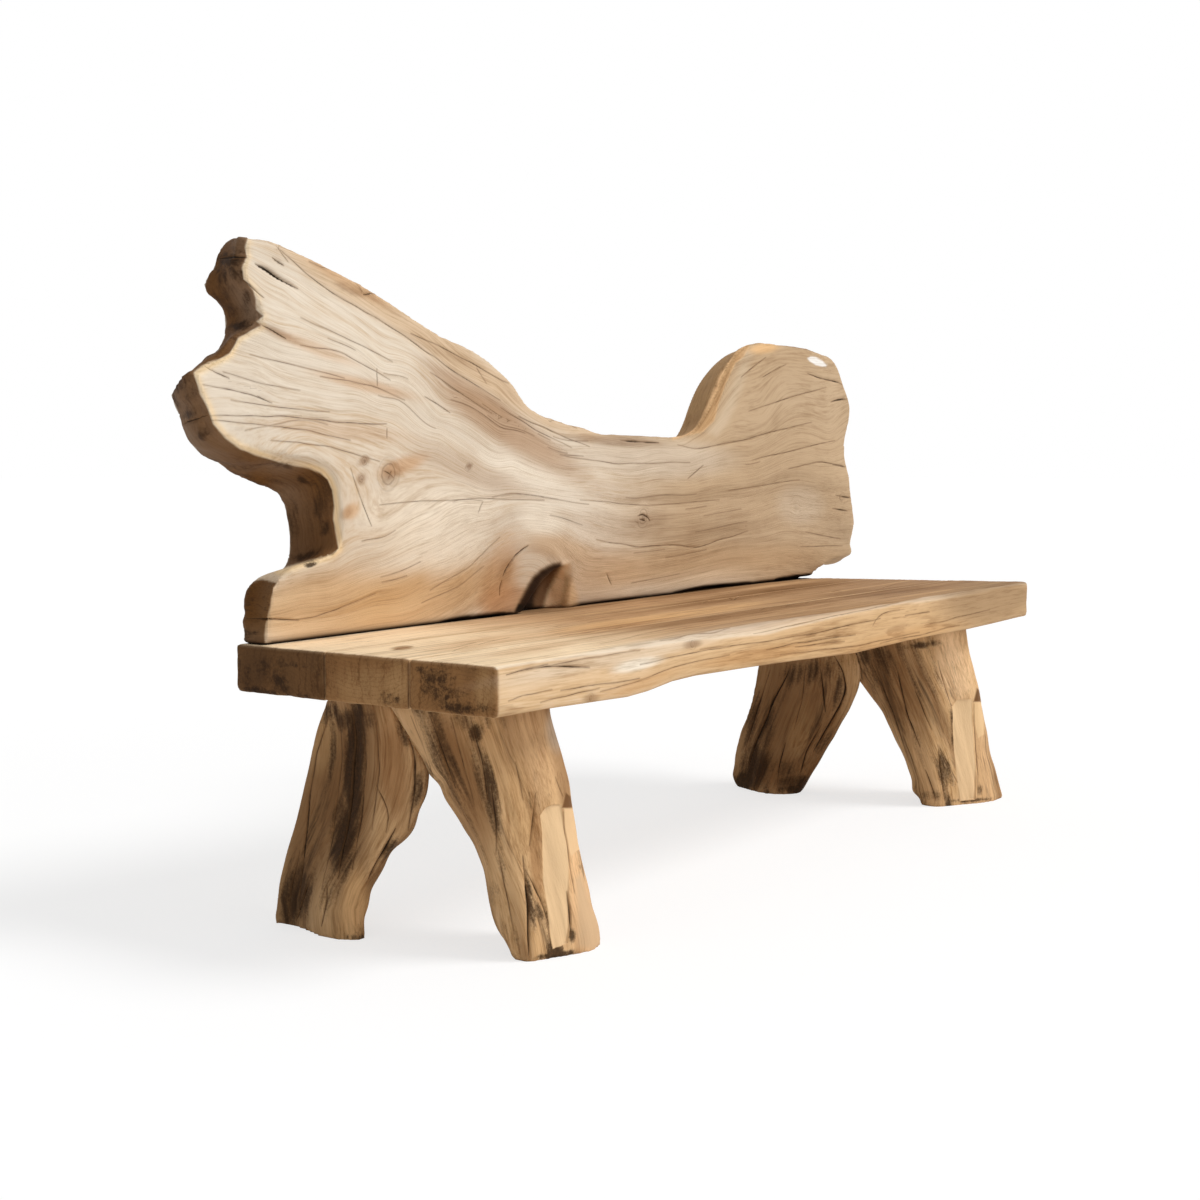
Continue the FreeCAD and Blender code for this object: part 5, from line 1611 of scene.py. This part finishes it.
def bark_cracks(tree, axis, seed):
    """Long drying cracks on the sides of a log that the photograph doesn't show."""

    def shots(index):
        angle = 2 * math.pi * chance(seed + 20, index)
        start = 0.01 + 0.25 * chance(seed + 21, index)
        run = 0.05 + 0.22 * chance(seed + 22, index)
        for height in np.linspace(start, min(start + run, UNDERSIDE - 0.010), 16):
            yield inward(axis, height, angle + 0.25 * math.sin(9 * height + index))

    def turned_away(hit):
        return (CAMERA_PLACE - hit[0]).dot(hit[1]) <= 0.3

    return cast_lines(tree, map(shots, range(14)), 4, turned_away)


def log_knots(tree, axis, seed):
    """Knots there, each with its middle, radius and strength."""
    knots = []
    for index in range(3):
        height = 0.06 + 0.26 * chance(seed + 5, index)
        hit = tree.ray_cast(*inward(axis, height, 2 * math.pi * chance(seed + 6, index)))
        if hit[0] is not None and (CAMERA_PLACE - hit[0]).dot(hit[1]) < 0:
            knots.append((tuple(hit[0]), 0.008 + 0.008 * chance(seed + 7, index), 0.8))
    return knots


def cut_sunlit_facet(carving, sunlit_facet, sun_and_shade_patches):
    """A flat face cut into the log's corner, painted pale with a crisp edge as a patch of sunlight, and
    plain patches beside it, painted sunlight and painted shadow.
    """
    depth = outline_depth(carving.pixels, sunlit_facet)
    inside = smooth_step(-0.8, 0.8, depth) * carving.seen
    chosen = (depth > 0.5) & carving.seen
    normal = carving.normals[chosen].mean(0)
    normal /= np.linalg.norm(normal)
    height = (carving.places - carving.places[chosen].mean(0)) @ normal
    carving.moved -= inside * (height + 1.5 * MILLIMETRE)
    # Painted sunlight: the cut face pale
    carving.blend(inside, colour(222, 188, 145))
    carving.bare(inside)
    # Painted sunlight and painted shadow beside the cut face
    for outline, shade, soft in sun_and_shade_patches:
        inside = carving.outlined(outline, soft)
        carving.blend(inside * 0.9, shade)
        carving.bare(inside)


def leg_piece(node, name, seen_cracks, spots, pushes, sunlit_facet, sun_and_shade_patches, seed):
    """One log leg, with a flat face cut into it and painted pale as sunlight if the photograph shows one.
    """
    piece = fine_copy(node, name, LEG_VOXEL)
    tree = make_tree(piece)
    axis = log_axis(piece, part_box(node)[0])
    if sunlit_facet:
        outlines = [sunlit_facet] + [outline for outline, shade, soft in sun_and_shade_patches if soft < 2]
        refine(piece, [drawn_line(tree, outline + outline[:1], seed) for outline in outlines], RIM_REACH, 2)
    cracks = work_cracks(piece, tree, seen_cracks, bark_cracks(tree, axis, seed))
    carving = Carving(piece)
    height = carving.places[:, 2]
    off = carving.places[:, :2] - axis(height)
    turn = np.arctan2(off[:, 1], off[:, 0])
    ring_way = np.stack([np.cos(turn), np.sin(turn)])
    sway = 0.008 * noise(np.stack([height, *ring_way], 1), (0.16, 0.7, 0.7), seed)
    grain = np.stack([height, off[:, 0] + sway, off[:, 1] - sway], 1)
    foot = smooth_step(0.7, 0.95, -carving.normals[:, 2])
    exposed = 1 - smooth_step(UNDERSIDE - 0.004, UNDERSIDE + 0.002, height)
    bark = exposed * (1 - foot) * (0.25 + 0.75 * smooth_step(0.0, 0.014, height))
    round_log = np.stack([height, *(0.06 * ring_way)], 1)
    carving.relief(
        seed + 2, (bark, 2.6, round_log, (0.12, 0.022, 0.022)),
        (bark, 1.3, round_log, (0.07, 0.007, 0.007)), (bark, 1.0, carving.places, (0.03, 0.03, 0.03)))
    carving.open_cracks(cracks)
    knot = add_knots(carving, grain, tree, log_knots(tree, axis, seed))

    carving.blend(0.5 + 0.3 * noise(round_log, (0.18, 0.03, 0.03), seed + 8), colour(212, 172, 126))
    carving.blend(smooth_step(0.0, 0.8, noise(round_log, (0.25, 0.02, 0.02), seed + 9)) * 0.6, BROWN)
    carving.grime_and_shade += smooth_step(0.2, 0.9, noise(round_log, (0.3, 0.014, 0.014), seed + 10)) * 0.6
    carving.grime_and_shade += (1 - smooth_step(0.0, 0.04, height)) * 0.3
    # Painted shade at the top, under the seat
    carving.grime_and_shade += smooth_step(UNDERSIDE - 0.032, UNDERSIDE, height) * 0.35
    # Umber and soot spots go on as mottled dirt: stains, and painted shadow where they stand for it
    dirt_and_shadow_spots = [spot for spot in spots if spot[3] in (UMBER, SOOT_AND_SHADOW)]
    carving.soil_and_shade([(*spot[:3], spot[4] + (0.15 if spot[3] == SOOT_AND_SHADOW else 0)) for spot in dirt_and_shadow_spots])
    carving.paint_spots([spot for spot in spots if spot not in dirt_and_shadow_spots])
    carving.push(pushes)
    # Painted shade under the seat, browner at the top
    carving.blend(smooth_step(UNDERSIDE - 0.037, UNDERSIDE, height) * 0.4, BROWN)
    if sunlit_facet:
        cut_sunlit_facet(carving, sunlit_facet, sun_and_shade_patches)
    carving.finish(grain=grain, knot=knot, rings=np.linalg.norm(off, axis=1), end=foot)
    dress(piece, node, MATERIALS["leg"])


def dress_hidden_parts():
    """Dowels, screws and washers keep their CAD shapes and get finished materials."""
    for name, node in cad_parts.items():
        for word, look in (("dowel", "dowel"), ("screw", "steel"), ("washer", "steel")):
            if word in name:
                node.data.materials.clear()
                node.data.materials.append(MATERIALS[look])


# Camera, light and floor

def make_camera():
    """The photograph's camera."""
    data = bpy.data.cameras.new("camera")
    data.sensor_width = SENSOR_WIDTH
    data.lens = FOCAL_PIXELS / PHOTO_SIDE * SENSOR_WIDTH
    data.clip_start = 0.05
    data.clip_end = 100
    camera = add_object("camera", data)
    turn = Matrix((RIGHT, UP, -FORWARD)).transposed().to_4x4()
    camera.matrix_world = Matrix.Translation(CAMERA_PLACE) @ turn
    bpy.context.scene.camera = camera


def make_light():
    """Two soft suns, and a world that is white where it is seen and weaker as a light."""
    for name, energy, width, towards in (
        ("key", 2.0, 24, Vector((0.36, -0.62, 0.80))),
        ("fill", 0.9, 50, Vector((0.15, -0.95, 0.12))),
    ):
        sun = bpy.data.lights.new(name, "SUN")
        sun.energy = energy
        sun.angle = math.radians(width)
        lamp = add_object(name, sun)
        lamp.rotation_euler = towards.to_track_quat("Z", "Y").to_euler()
        lamp.location = towards * 4

    world = bpy.data.worlds.new("studio")
    bpy.context.scene.world = world
    world.use_nodes = True
    nodes = NodeTree(world.node_tree)
    path = nodes.add("ShaderNodeLightPath").outputs
    mirrored = nodes.calculate("MAXIMUM", path["Is Glossy Ray"], path["Is Transmission Ray"])
    shown = nodes.calculate("MAXIMUM", path["Is Camera Ray"], mirrored)
    strength = nodes.add("ShaderNodeMapRange", Value=shown, To_Min=0.40, To_Max=1.0).outputs[0]
    background = nodes.add("ShaderNodeBackground", Color=(1, 1, 1, 1), Strength=strength)
    nodes.output(background, "ShaderNodeOutputWorld")
    bpy.context.scene.view_settings.view_transform = "Standard"


def make_floor():
    """A pale floor that glows a little where it is seen, and keeps the bench's shadow."""
    mesh = bpy.data.meshes.new("floor")
    shape = bmesh.new()
    bmesh.ops.create_circle(shape, cap_ends=True, segments=64, radius=30)
    shape.to_mesh(mesh)
    shape.free()
    floor = add_object("floor", mesh)
    material, nodes = new_material("floor")
    diffuse = nodes.add("ShaderNodeBsdfDiffuse", Color=(0.95, 0.95, 0.95, 1))
    glow = nodes.add("ShaderNodeEmission", Color=(1, 1, 1, 1), Strength=1.08)
    path = nodes.add("ShaderNodeLightPath").outputs
    shown = nodes.calculate("MAXIMUM", path["Is Camera Ray"], path["Is Glossy Ray"])
    both = nodes.add("ShaderNodeMixShader", Fac=nodes.times(shown, 0.65))
    nodes.join(diffuse.outputs[0], both.inputs[1])
    nodes.join(glow.outputs[0], both.inputs[2])
    nodes.output(both)
    mesh.materials.append(material)


make_camera()
make_light()
make_floor()
foot_line = backrest_piece()

# Boards: side, cracks, spots of its own, first number of its noise, pith and knots
for side, cracks, spots, seed, pith, knots in (
    ("front", FRONT_BOARD_CRACKS, FRONT_BOARD_SPOTS, 100, (-0.19, 0.30),
     [((693, 644), 0.007, 0.8), ((591, 696), 0.005, 0.7)]),
    ("middle", MIDDLE_BOARD_CRACKS, [], 130, (-0.03, 0.62), []),
    ("rear", REAR_BOARD_CRACKS, [], 160, (0.16, 0.28), []),
):
    board_piece(
        "seat_board_" + side, side + "_board", cracks, spots + LEFT_END_SPOTS + TOP_SPOTS,
        seed, pith, knots, foot_line)

# Legs: place, cracks, spots, pushes of the outline, the flat face painted as sunlit, the painted sunlight
# and shadow beside it, first number of its noise
for place, cracks, spots, pushes, sunlit_facet, sun_and_shade_patches, seed in (
    ("front_left", FRONT_LEFT_CRACKS, FRONT_LEFT_SPOTS,
     [((440, 785), 10, -4), ((596, 905), 16, -3)], LEFT_SUNLIT_FACET, LEFT_SUN_AND_SHADE_PATCHES, 200),
    ("rear_left", REAR_LEFT_CRACKS, REAR_LEFT_SPOTS,
     [((392, 850), 18, -7), ((420, 810), 14, -4), ((366, 905), 14, 5)], None, [], 240),
    ("front_right", FRONT_RIGHT_CRACKS, FRONT_RIGHT_SPOTS,
     [((915, 790), 8, 8), ((977, 692), 18, 5), ((992, 752), 14, -5)], RIGHT_SUNLIT_FACET, RIGHT_SUN_AND_SHADE_PATCHES, 280),
    ("rear_right", REAR_RIGHT_CRACKS, REAR_RIGHT_SPOTS,
     [((750, 705), 26, -7), ((734, 777), 9, 7)], None, [], 320),
):
    leg_piece("leg_" + place, place + "_log", cracks, spots, pushes, sunlit_facet, sun_and_shade_patches, seed)

dress_hidden_parts()
